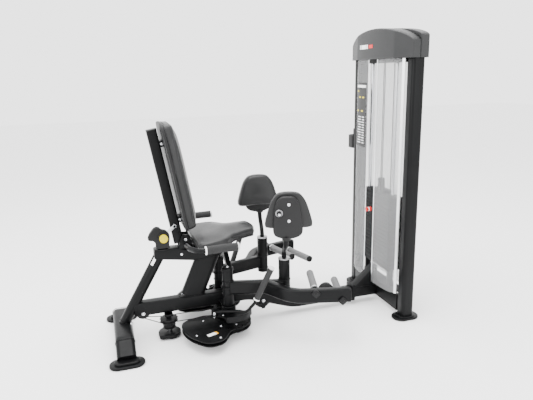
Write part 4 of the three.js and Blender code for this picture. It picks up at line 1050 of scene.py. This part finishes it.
for side, s in SIDES.items():
    bar = rod((STACK_X, s * ROD_Y, 141), (STACK_X, s * ROD_Y, 1423), 10, 1)
    piece(f"guide_bar_{side}", [bar], STEEL, "machine", [f"guide_rod_{side}"])
print("tower frame made")

# %% [markdown]
# ## Weight stack
#
# The stack is parted at the selector pin. Each plate is a cast block with softened edges and a drilled
# hole at the front for the pin.

# %% Plates, head and selector pin
def stack_shells(low, high, count):
    """Plates of equal height with a hairline gap, each with an eyelet at the pin's hole."""
    pitch = (high - low) / count
    eyelet = [(5.5, 0), (8, 0), (8.6, 0.6), (8.6, 1.6), (5.5, 1.6)]
    shells = []
    for k in range(count):
        z = low + k * pitch
        shells.append(block(712, 802, -172, 172, z + 0.25, z + pitch - 0.25, 2.2))
        shells.append(turned(eyelet, (711.9, 0, z + pitch / 2), BACKWARDS, 24, loop=True))
    return shells


piece("plates_resting", stack_shells(240, 560, 14), PLATE_PAINT, "machine", ["resting_stack"])
head = [*stack_shells(560.3, 668, 5), block(723, 791, -60, 60, 667.5, 690, 5),
        turned([(1, 668), (20, 668), (20, 748), (17, 752), (1, 752)], (STACK_X, 0, 0), UP, 36)]
piece("plates_lifted", head, PLATE_PAINT, "lift", ["lifted_stack"])
PIN_Z = 572
PIN_FACE = (695, 0, PIN_Z)
profile = [(1, 0), (10, 0), (13, 2.5), (13, 10), (10.5, 14), (10.5, 22), (12.6, 25), (12.6, 32), (10, 34),
           (1, 34)]
piece("pin_knob", [turned(profile, PIN_FACE, BACKWARDS, 36)], RED, "pin", ["selector_pin"])
piece("pin_shank", [rod((694, 0, PIN_Z), (767, 0, PIN_Z), 4.5, 1)], STEEL, "pin")
profile = [(10.8, 15.5), (12.2, 15.5), (12.2, 20.5), (10.8, 20.5)]
piece("pin_ring", [turned(profile, PIN_FACE, BACKWARDS, 32, loop=True)], WHITE, "pin")
print("19 plates")

# %% [markdown]
# ## Shroud
#
# The cap of the tower is two mouldings: an arched front cover with a bowed face, and a block behind it.
# Both are open below. Each is one sheet worked out on two grids, a face and the rim that runs back from
# it, and the Solidify modifier then gives it its wall.

# %% A bowed face under an arch
def arch(half_width, shoulder, peak, pull, count=48):
    """A cubic Bezier curve up from each shoulder to the middle of the arch."""
    t = np.linspace(0, 1, count)[:, None]
    a, b, c, d = np.array([(-half_width, shoulder), (-half_width + pull, peak - 24), (-120, peak), (0, peak)],
                          float)
    left = (1 - t) ** 3 * a + 3 * (1 - t) ** 2 * t * b + 3 * (1 - t) * t**2 * c + t**3 * d
    return np.vstack([left, (left * (-1, 1))[-2::-1]])


KNEE_Y, HOOD_Y = 200, 326


def bow(y, middle, knee, side):
    """Depth of a bowed face: a parabola out to the knee each way, then a flat facet back to the side."""
    y = np.abs(y)
    bowed = middle + (knee - middle) * (y / KNEE_Y) ** 2
    return np.where(y < KNEE_Y, bowed, knee + (side - knee) * (y - KNEE_Y) / (HOOD_Y - KNEE_Y))


def hood(top, bottom, plan, back, radius=9, rows=10):
    """Face columns rise from the bottom to the arch; the edge then turns back through a quarter round of
    `radius` and runs to x = back. Returned as one open sheet."""
    ahead = np.sign(back - plan[0])
    flat = top * (1 - radius / top[-1, 0], 1) - (0, radius)
    z = bottom + np.linspace(0, 1, rows)[:, None] * (flat[:, 1] - bottom)
    y = np.broadcast_to(flat[:, 0], z.shape)
    face = np.stack([bow(y, *plan), y, z], -1)
    edge = np.vstack([face[:-1, 0], face[-1], face[-2::-1, -1]])
    step = np.gradient(edge[:, 1:], axis=0)
    outwards = unit(np.stack([-step[:, 1], step[:, 0]], -1))
    outwards[: rows - 1], outwards[1 - rows :] = (-1, 0), (1, 0)
    a = np.linspace(0, pi / 2, 7)[:, None]
    x = edge[:, 0] + ahead * radius * (1 - np.cos(a))
    turn = np.stack([x, *(edge[:, k] + radius * np.sin(a) * outwards[:, k - 1] for k in (1, 2))], -1)
    share = np.linspace(0, 1, 5)[1:, None]
    run = np.broadcast_to(turn[-1], (4, *turn[-1].shape)).copy()
    run[..., 0] += share * (back - run[..., 0])
    rim = np.concatenate([turn, run])
    points, quads = [], []
    for grid in (face, rim):
        index = np.arange(grid.shape[0] * grid.shape[1]).reshape(grid.shape[:2]) + sum(len(p) for p in points)
        corners = [index[:-1, :-1], index[:-1, 1:], index[1:, 1:], index[1:, :-1]]
        quads.append(np.stack(corners, -1).reshape(-1, 4))
        points.append(grid.reshape(-1, 3))
    points, same = np.unique(np.round(np.vstack(points), 3), axis=0, return_inverse=True)
    quads = same.ravel()[np.vstack(quads)]
    sheet = Shell(points, quads, np.zeros((0, 3), int))
    sheet.quads = quads[:, ::-1] if ahead > 0 else quads
    return sheet


def walled(obj, thick):
    """A wall inwards from the outer sheet."""
    wall = obj.modifiers.new("wall", "SOLIDIFY")
    wall.thickness, wall.offset, wall.use_even_offset = thick / 1000, -1, True
    return obj


HOOD_LOW = 1420
FRONT_PLAN, REAR_PLAN = (FRONT - 52, FRONT - 42, FRONT - 10), (REAR + 32, REAR + 31, REAR + 10)
cover = hood(arch(HOOD_Y, 1512, 1580, 60), HOOD_LOW, FRONT_PLAN, 762)
walled(piece("hood_front", [cover], SHROUD, "machine", ["tower_shroud"]), 4)
rear_block = hood(arch(HOOD_Y, 1536, 1580, 36), HOOD_LOW, REAR_PLAN, 765.5)
walled(piece("hood_rear", [rear_block], SHROUD, "machine"), 4)
# A black band inside the walls fills the gap between the front cover and the rear block: painted shade,
# standing for the shadow in the groove between the two mouldings.
inner = hood(arch(321, 1509, 1575, 58), HOOD_LOW + 1, (756, 756, 756), 772, 1)
walled(piece("hood_gap_shade", [inner], BLACK, "machine"), 2)
closing = hood(arch(324, 1534, 1578, 36), HOOD_LOW + 0.5, (765.2, 765.2, 765.2), 775, 2)
walled(piece("hood_rear_front", [closing], SHROUD, "machine"), 2)
print("hood from", FRONT_PLAN[0], "to", REAR_PLAN[0])


# %% Badge and placard, drawn as plain blocks
def patch(depth, y0, y1, z0, z1, proud=1.0):
    """A thin tile that follows a bowed face: x = depth(y)."""
    y = np.linspace(y0, y1, 14)
    x = depth(y)
    rows = [(-proud, z0), (-proud, z1), (0.6, z1), (0.6, z0)]
    return shell(np.stack([np.stack([x + d, y, np.full_like(y, z)], -1) for d, z in rows], 1))


def on_hood(y):
    return bow(y, *FRONT_PLAN)


SHIELD_PLAN = np.array([(48.0, 40), (48, 52), (41.5, 161), (27, 217), (4, 255)])


def on_shield(y):
    """Depth of the front shields at y, on a smooth curve through their plan."""
    curve = smooth(SHIELD_PLAN, 60, loop=False)
    return FRONT - np.interp(abs(y), curve[:, 1], curve[:, 0])


badge = [patch(on_hood, y, y + w, 1478, 1500, 1.2) for y, w in ((60, 14), (80, 60), (148, 10))]
piece("badge_pale", badge, WHITE, "machine")
piece("badge_red", [patch(on_hood, 4, 48, 1480, 1498, 1.2)], RED, "machine")

# %% Shields
def shield_shell(s):
    """A bent sheet: its plan is the outer curve, and the same curve 3.2 mm further in, the other way."""
    outer = np.vstack([(48, 44), smooth(SHIELD_PLAN[1:], 40, loop=False)])
    normal = np.gradient(outer, axis=0)
    normal = unit(np.stack([normal[:, 1], -normal[:, 0]], -1))
    inner = outer - normal * 3.2 * np.sign(normal[:, :1] + 1e-9)
    plan = np.vstack([outer, inner[::-1]])
    return slab(np.stack([FRONT - plan[:, 0], s * plan[:, 1]], -1), 134, 1419.7, "XY", 0.5)


for side, s in SIDES.items():
    piece(f"shield_{side}", [shield_shell(s)], SHEET, "machine", [f"front_shield_{side}"])
    edges = [patch(on_shield, *sorted((s * a, s * b)), 134.5, 1419, 0.6) for a, b in ((44, 51), (240, 252))]
    piece(f"shield_edges_{side}", edges, ALUMINIUM, "machine")
back_plan = smooth([(1, -255), (22, -170), (28, -60), (28, 60), (22, 170), (1, 255)], 60, loop=False)
back_plan = np.vstack([back_plan, (back_plan + (3.6, 0))[::-1]]) + (REAR, 0)
piece("shield_back", [slab(back_plan, 134, 1419.7, "XY", 0.5)], REAR_SHEET, "machine", ["rear_shield"])
ticks = [patch(on_shield, -70, -58, z, z + 2, 0.9) for z in np.arange(250, 668, 22)]
piece("shield_ticks", ticks, DARK_STEEL, "machine")
card = [patch(on_shield, 74, 206, 925, 1262, 1.0), patch(on_shield, 74, 206, 1284, 1293, 1.0)]
piece("placard", card, PLACARD, "machine")
piece("placard_strip", [patch(on_shield, 80, 200, 1266, 1280, 1.0)], WHITE, "machine")
marks_at = ((170, 1240), (96, 1206), (140, 1206), (170, 1128), (110, 1128))
marks = [patch(on_shield, y, y + 24, z, z + 9, 1.5) for y, z in marks_at]
piece("placard_marks", marks, YELLOW, "machine")
rows = [patch(on_shield, y, y + w, z, z + 6, 1.4) for k, z in enumerate(np.arange(945, 1100, 15))
        for y, w in ((92, 26 + 4 * (k % 3)), (134, 50 - 5 * (k % 4)))]
piece("placard_rows", rows, ALUMINIUM, "machine")
print("shields, placard and badge made")

# %% [markdown]
# ## Pulleys and cables
#
# Every pulley is one turned profile with a thin web and two rounded grooves, one for each cable.

# %% Pulleys
PULLEYS = {"top_pulley": 33, "tower_base_pulley": 28, "low_bend_pulley": 44, "high_bend_pulley": 46,
           "rear_pulley": 33}
PULLEY_AT = {name: 1000 * np.array(JOINTS[name + "_spin"]["pos_m"]) for name in PULLEYS}


def pulley_profile(r):
    """Bore, hub, thin web, rim with two round grooves 14 mm apart, and back to the bore."""
    groove = [(r + 3, 0), (r + 3, 3), (r - 1.2, 5.2), (r - 2.6, 7), (r - 1.2, 8.8), (r + 3, 11), (r + 3, 13),
              (r + 2, 14)]
    half = [*groove, (r - 11, 14), (r - 12, 8), (15, 8), (14, 14), (8.8, 14)]
    return half + [(a, -h) for a, h in half[::-1]]


for name, r in PULLEYS.items():
    x, _, z = PULLEY_AT[name]
    sheave = turned(pulley_profile(r), (x, 0, z), ACROSS, 64, loop=True)
    piece(name + "_sheave", [sheave], BLACK, name + "_wheel", [name])

# %% Idlers under the beam
IDLER = (-522, -38)


def scalloped(outer, depth, teeth, level, count=96):
    """A wheel whose rim radius swings as depth * cos(teeth * angle)."""
    heights = np.array([-9, -9, -7, -1.5, 1.5, 7, 9, 9])
    radii = np.array([9, outer - 2, outer, outer - 9, outer - 9, outer, outer - 2, 9])
    a = np.arange(count) * 2 * pi / count
    wave = depth * np.cos(teeth * a)
    reach = radii[:, None] + wave * (radii[:, None] > 12)
    ring = np.stack([np.cos(a), np.sin(a), 0 * a], -1)
    rise = heights[:, None, None] * np.array([0, 0, 1.0])
    return shell(np.array([*IDLER, level]) + reach[..., None] * ring + rise, loop=True)


piece("idler_wheel_lower", [scalloped(34.5, 0.0, 1, 59)], BLACK, "lower_idler_wheel", ["lower_idler"])
piece("idler_wheel_upper", [scalloped(48, 1.0, 12, 95)], BLACK, "upper_idler_wheel", ["upper_idler"])
a = np.radians(np.linspace(-118, 205, 60))
disc = 60 * np.stack([np.cos(a), np.sin(a)], -1)
guard = [slab(np.vstack([disc, (-58, -44), (-44, -56)]) + IDLER, 8, 26, "XY", 2.5),
         rod((*IDLER, 105), (*IDLER, 127.7), 15, 1), block(-544, -500, -60, -12, 118, 127.7, 2)]
piece("idler_guard", guard, PAINT, "machine", ["idler_post"])
SPACERS = [(26, 49.5, 14, 1), (68.5, 85.5, 14, 1), (49, 105, 8, 1), (3.5, 9, 11, 1.5)]
spacers = [rod((*IDLER, low), (*IDLER, high), r, soft) for low, high, r, soft in SPACERS]
piece("idler_bolt", spacers, STEEL, "machine")
print("sheaves:", len(PULLEYS) + 2)


# %% Cables
def arc(centre, r, y, start, end, steps=16):
    """Points on an arc in the plane y = const."""
    a = np.linspace(start, end, steps)
    return np.stack([centre[0] + r * np.cos(a), np.full(steps, y), centre[2] + r * np.sin(a)], -1)


def cable_path(s, level):
    """Over the tower, under its base, along and up the beam, round the rear pulley and 60 degrees round
    the cam. A straight run between two wheels leaves them at the angle whose sine is the sum of their
    radii (if it crosses) or their difference, over the distance of their centres."""
    y = 7 * s
    top, base, low, high, back = PULLEY_AT.values()
    r_top, r_base, r_low, r_high, r_back = PULLEYS.values()
    gap = low - high
    rise = np.arcsin((r_low + r_high) / hypot(gap[0], gap[2])) - atan2(gap[2], gap[0])
    far = high - back
    lean = np.arcsin((r_back - r_high) / hypot(far[0], far[2])) + atan2(far[2], far[0])
    turn = np.linspace(0, pi / 3, 22)[1:]
    core = PIVOT_Y - 7
    across = s * (PIVOT_Y - core * np.cos(turn))
    wrap = np.stack([PIVOT_X + core * np.sin(turn), across, np.full(len(turn), level)], -1)
    return np.vstack([
        [(STACK_X, y, 700)], arc(top, r_top, y, pi, 0, 26), arc(base, r_base, y, 0, -pi / 2, 14),
        arc(low, r_low, y, -pi / 2, -pi / 2 - rise, 10),
        arc(high, r_high, y, pi / 2 - rise, pi / 2 + lean, 10),
        arc(back, r_back, y, pi / 2 + lean, 1.5 * pi, 26),
        [(IDLER[0] - 30, y, level), (PIVOT_X, y, level)], wrap])


for side, s in SIDES.items():
    cable = along(cable_path(s, LEVEL[side]), circle(2.5, 12), (0.02, 1, 0.05))
    piece(f"cable_{side}", [cable], JACKET, "machine", [f"lift_cable_{side}"])
print("cables:", len(SIDES))

# %% [markdown]
# ## Vinyl
#
# Upholstery vinyl is a soft plastic with a pebbled grain. The grain is the distance to random cells,
# broken up by noise, and the gloss changes slowly where the cover is pulled tight.

# %% Vinyl finish
VINYL = Finish("black_vinyl", "vinyl", (0.005, 0.0051, 0.0053), 0.38, 0.0,
               **{"Specular IOR Level": 0.3, "Sheen Weight": 0.04})
VINYL.mottle(VINYL.noise(11, 4), (0.009, 0.0092, 0.0096))
VINYL.uneven(VINYL.noise(26, 4), 0.16)
grain = VINYL.cells(720, "SMOOTH_F1") * 0.7 + VINYL.noise(1400, 3) * 0.35
VINYL.bumps(grain + VINYL.noise(70, 3) * 0.9, 0.0006, 0.35)
THREAD = moulded("seam_thread", "vinyl", (0.012, 0.012, 0.0125), 0.55, 1500, 0.0002)
print(VINYL.material.name, len(VINYL.tree.nodes), "nodes")

# %% [markdown]
# ## Cushions
#
# Foam fills its cover until the cover is tight, so a cushion is best made by blowing it up. A plain
# form is cut into even squares, held where it rests on its board, and pressed from inside by Blender's
# cloth solver. Seams are sewn afterwards: the cover dips along each line, and a fine cord lies in it.

# %% Blow up a form
def cushion_form(outline, low, high, plane, rim):
    """Rings up the side, then a quarter round of `rim` mm, then insets towards the middle of the top."""
    outline = counter_clockwise(outline)
    centre = outline.mean(0)
    a = np.linspace(0, pi / 2, 6)
    steps = [(0, 3.0, low), (0, 0.8, low + 0.8), (0, 0, low + 3)]
    steps += [(0, rim * (1 - cos(t)), high - rim * (1 - sin(t))) for t in a]
    steps += [(f, rim, high) for f in (0.15, 0.4, 0.7, 0.93)]
    rings = []
    for f, d, h in steps:
        ring = inset(outline, d)
        rings.append(np.column_stack([ring + (centre - ring) * f, np.full(len(ring), h)]))
    return shell(np.stack(rings)[..., ORDER[plane]])


def positions(mesh):
    out = np.empty(len(mesh.vertices) * 3, np.float32)
    mesh.vertices.foreach_get("co", out)
    return out.reshape(-1, 3).astype(float)


def evaluated_mesh(obj):
    graph = bpy.context.evaluated_depsgraph_get()
    graph.update()
    return bpy.data.meshes.new_from_object(obj.evaluated_get(graph))


def evened(mesh, move, rounds):
    """A taut cover has no small folds: each point's move becomes the mean of its own and its neighbours'."""
    edges = np.empty(len(mesh.edges) * 2, np.int32)
    mesh.edges.foreach_get("vertices", edges)
    one, other = np.concatenate([edges[::2], edges[1::2]]), np.concatenate([edges[1::2], edges[::2]])
    count = np.bincount(one, minlength=len(move))[:, None]
    for _ in range(rounds):
        total = np.stack([np.bincount(one, move[other, k], len(move)) for k in range(3)], -1)
        move = 0.5 * move + 0.5 * total / np.maximum(count, 1)
    return move


def blown(name, form, rests, cap, voxel=5.0, pressure=4.0):
    """Cloth pressed from inside. `rests` says which points (mm) are held; no point moves more than cap mm."""
    obj = bpy.data.objects.new(name, make_mesh(name, [form]))
    bpy.context.scene.collection.objects.link(obj)
    remesh = obj.modifiers.new("squares", "REMESH")
    remesh.mode, remesh.voxel_size, remesh.adaptivity = "VOXEL", voxel / 1000, 0
    obj.data = evaluated_mesh(obj)
    obj.modifiers.clear()
    start = positions(obj.data)
    held = obj.vertex_groups.new(name="held")
    held.add(np.flatnonzero(rests(start * 1000)).tolist(), 1.0, "REPLACE")
    cloth = obj.modifiers.new("cloth", "CLOTH")
    cloth.settings.quality = 5
    cloth.settings.mass = 0.3
    cloth.settings.vertex_group_mass = "held"
    cloth.settings.tension_stiffness = cloth.settings.compression_stiffness = 15
    cloth.settings.bending_stiffness = 0.6
    cloth.settings.use_pressure = True
    cloth.settings.uniform_pressure_force = pressure
    cloth.settings.effector_weights.gravity = 0
    cloth.point_cache.frame_start, cloth.point_cache.frame_end = 1, 20
    for frame_number in range(1, 21):
        bpy.context.scene.frame_set(frame_number)
    pressed = evaluated_mesh(obj)
    move = positions(pressed) - start
    far = np.linalg.norm(move, axis=1, keepdims=True)
    move *= np.minimum(1, cap / 1000 / np.maximum(far, 1e-9))
    move = evened(obj.data, move, 70)
    obj.modifiers.clear()
    bpy.data.meshes.remove(pressed)
    obj.data.vertices.foreach_set("co", (start + move).astype(np.float32).ravel())
    obj.data.update()
    bpy.context.scene.frame_set(1)
    return obj


def fitted(obj, low, high, room=2.0):
    """Scales the cover, side by side, so that it stands at most `room` mm proud of its box (mm)."""
    p = positions(obj.data) * 1000
    now_low, now_high = p.min(0), p.max(0)
    goal_low = np.maximum(now_low, np.array(low, float) - room)
    goal_high = np.minimum(now_high, np.array(high, float) + room)
    p = goal_low + (p - now_low) * (goal_high - goal_low) / (now_high - now_low)
    obj.data.vertices.foreach_set("co", (p / 1000).astype(np.float32).ravel())
    obj.data.update()


def sewn(obj, lines, depth=1.6, reach=7.0):
    """Lays each line on the cover, and points within reach dip by depth * (1 - d / reach)^2."""
    p = positions(obj.data)
    tree = BVHTree.FromPolygons([tuple(v) for v in p], [tuple(f.vertices) for f in obj.data.polygons])
    laid = [np.array([tree.find_nearest(Vector(q / 1000))[0] for q in line]) for line in lines]
    normals = np.empty(len(p) * 3, np.float32)
    obj.data.vertices.foreach_get("normal", normals)
    normals = normals.reshape(-1, 3)
    seam = np.vstack(laid)
    parts = np.array_split(p, len(p) // 400 + 1)
    near = np.concatenate([np.linalg.norm(q[:, None] - seam, axis=2).min(1) for q in parts])
    dip = depth / 1000 * np.clip(1 - near * 1000 / reach, 0, 1) ** 2
    obj.data.vertices.foreach_set("co", (p - normals * dip[:, None]).astype(np.float32).ravel())
    obj.data.update()
    return [line * 1000 for line in laid]


def upholstered(name, obj, lines, at, axes, body, node, sink=0.8):
    """Puts the cover and its seam cord in place, gives them their finish, and adds one subdivision."""
    cords = [along(unit_steps(line), circle(1.25, 8), (0.3, 0.2, 1), loop=True) for line in sewn(obj, lines)]
    p = positions(obj.data) @ np.asarray(axes, float) + np.asarray(at, float) / 1000
    obj.data.vertices.foreach_set("co", p.astype(np.float32).ravel())
    if np.linalg.det(np.asarray(axes, float)) < 0:
        obj.data.flip_normals()
    obj.data.update()
    obj.data.materials.append(VINYL.material)
    shade(obj.data, 80)
    finer = obj.modifiers.new("finer", "SUBSURF")
    finer.levels = finer.render_levels = 1
    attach(obj, body)
    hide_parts(node)
    piece(name + "_seam", placed(cords, at, axes), THREAD, body)
    print(name, len(obj.data.polygons), "squares")


def unit_steps(line, count=150):
    """The closed line again, with its points an equal distance apart and slightly smoothed."""
    closed = np.vstack([line, line[:1]])
    run = np.concatenate([[0], np.cumsum(np.linalg.norm(np.diff(closed, axis=0), axis=1))])
    t = np.linspace(0, run[-1], count, endpoint=False)
    even = np.stack([np.interp(t, run, closed[:, k]) for k in range(3)], -1)
    for _ in range(2):
        even = (np.roll(even, 1, 0) + 2 * even + np.roll(even, -1, 0)) / 4
    return even


def level_line(outline, distance, height, plane):
    """A closed line, `distance` mm inside an outline at one height."""
    ring = inset(counter_clockwise(outline), distance)
    return np.column_stack([ring, np.full(len(ring), height)])[:, ORDER[plane]]


# %% Seat cushion
seat_form = cushion_form(inset(counter_clockwise(seat_outline), 6), 17.6, 58, "XY", 14)
seat_cover = blown("seat_cover", seat_form, lambda p: p[:, 2] < 21, 22)
fitted(seat_cover, (-1, -203, 17.6), (352, 203, 66))
seat_lines = [level_line(seat_outline, 1, 47, "XY"), level_line(seat_outline, 1, 24, "XY")]
upholstered("seat_cover", seat_cover, seat_lines, SEAT_AT, SEAT_AXES, "machine", "seat_cushion")

# %% Back cushion
back_form = cushion_form(back_outline(-6), 18.7, 66, "YZ", 16)
back_cover = blown("back_cover", back_form, lambda p: p[:, 0] < 22, 20)
fitted(back_cover, (18.6, -152, 62), (78, 152, 622))
back_lines = [level_line(back_outline(), 1, 54, "YZ"), level_line(back_outline(), 1, 25, "YZ")]
upholstered("back_cover", back_cover, back_lines, BACK_AT, BACK_AXES, "backrest", "back_cushion")

# %% Thigh cushions: one is blown up, and the other is its mirror image
PAD_HALF = [(0, 594), (107, 596), (125, 616), (117, 658), (95, 728), (76, 761), (51, 781), (0, 787)]
pad_outline = smooth(PAD_HALF + [(-u, z) for u, z in PAD_HALF[-2:0:-1]], 110) + (322, 0)
pad_form = cushion_form(inset(counter_clockwise(pad_outline), 5), -72.4, -24, "XZ", 17)
pad_cover = blown("thigh_cover_near_soft", pad_form, lambda p: p[:, 1] < -68, 12)
fitted(pad_cover, (197, -72.4, 594), (447, -14, 787))
pad_lines = [level_line(pad_outline, 1, -60, "XZ"), level_line(pad_outline, 1, -34, "XZ")]
for side, s in SIDES.items():
    cover = pad_cover.copy()
    cover.data = pad_cover.data.copy()
    cover.name = f"thigh_pad_{side}"
    bpy.context.scene.collection.objects.link(cover)
    at, rows = pad_frame(side, s, True)
    rows = np.array(rows) * np.array([1, -1, 1])[:, None]
    upholstered(cover.name, cover, pad_lines, at, rows, f"{side}_pad", f"thigh_cushion_{side}")
bpy.data.objects.remove(pad_cover)

# %% [markdown]
# ## Studio
#
# A pale floor, a bright even sky and three large soft lights, as in a product studio. The camera stands
# low at the near rear corner, turned a little towards the tower.

# %% Floor, sky and lights
floor_mesh = bpy.data.meshes.new("floor")
side_m = 14.0
floor_mesh.from_pydata([(-side_m, -side_m, -0.0015), (side_m, -side_m, -0.0015), (side_m, side_m, -0.0015),
                        (-side_m, side_m, -0.0015)], [], [(0, 1, 2, 3)])
floor = bpy.data.objects.new("floor", floor_mesh)
bpy.context.scene.collection.objects.link(floor)
paper = Finish("paper_floor", "decal", (0.93, 0.93, 0.93), 0.85)
floor_mesh.materials.append(paper.material)

world = bpy.data.worlds.new("studio")
world.use_nodes = True
world.node_tree.nodes["Background"].inputs["Color"].default_value = (1, 1, 1, 1)
world.node_tree.nodes["Background"].inputs["Strength"].default_value = 3.0
bpy.context.scene.world = world


def softbox(name, place, target, width, height, power):
    """A rectangular area light turned so that its own -Z axis points at the target."""
    light = bpy.data.lights.new(name, "AREA")
    light.shape, light.size, light.size_y, light.energy = "RECTANGLE", width, height, power
    obj = bpy.data.objects.new(name, light)
    ahead = unit(np.array(target, float) - np.array(place, float))
    obj.matrix_world = Matrix.Translation(place) @ Vector(ahead).to_track_quat("-Z", "Y").to_matrix().to_4x4()
    bpy.context.scene.collection.objects.link(obj)


softbox("overhead", (-0.2, 0.2, 3.8), (0, 0, 0.4), 3.4, 2.6, 230)
softbox("left", (-3.4, -1.6, 2.2), (-0.2, 0, 0.6), 1.6, 2.2, 60)
softbox("right", (1.6, -3.2, 1.8), (0.2, 0, 0.6), 1.6, 2.0, 30)
print("lights", len(bpy.data.lights))

# %% Camera
def camera_axes(yaw, pitch, roll):
    """Right, up and backwards: the view turns by yaw, looks down by pitch, then rolls about itself."""
    a, e, r = radians(yaw), radians(pitch), radians(roll)
    ahead = np.array([-sin(a) * cos(e), cos(a) * cos(e), -sin(e)])
    right = np.array([cos(a), sin(a), 0])
    up = np.cross(right, ahead)
    return np.stack([cos(r) * right + sin(r) * up, cos(r) * up - sin(r) * right, -ahead])


lens = bpy.data.cameras.new("camera")
lens.lens, lens.sensor_width = 35.19, 36
camera = bpy.data.objects.new("camera", lens)
turn = Matrix(camera_axes(-17.592, 13.924, -1.254).T.tolist()).to_4x4()
camera.matrix_world = Matrix.Translation((-0.7835, -2.6339, 1.3716)) @ turn
bpy.context.scene.collection.objects.link(camera)
bpy.context.scene.camera = camera
print("camera at", [round(v, 3) for v in camera.location])

# %% Update the view layer
bpy.context.view_layer.update()
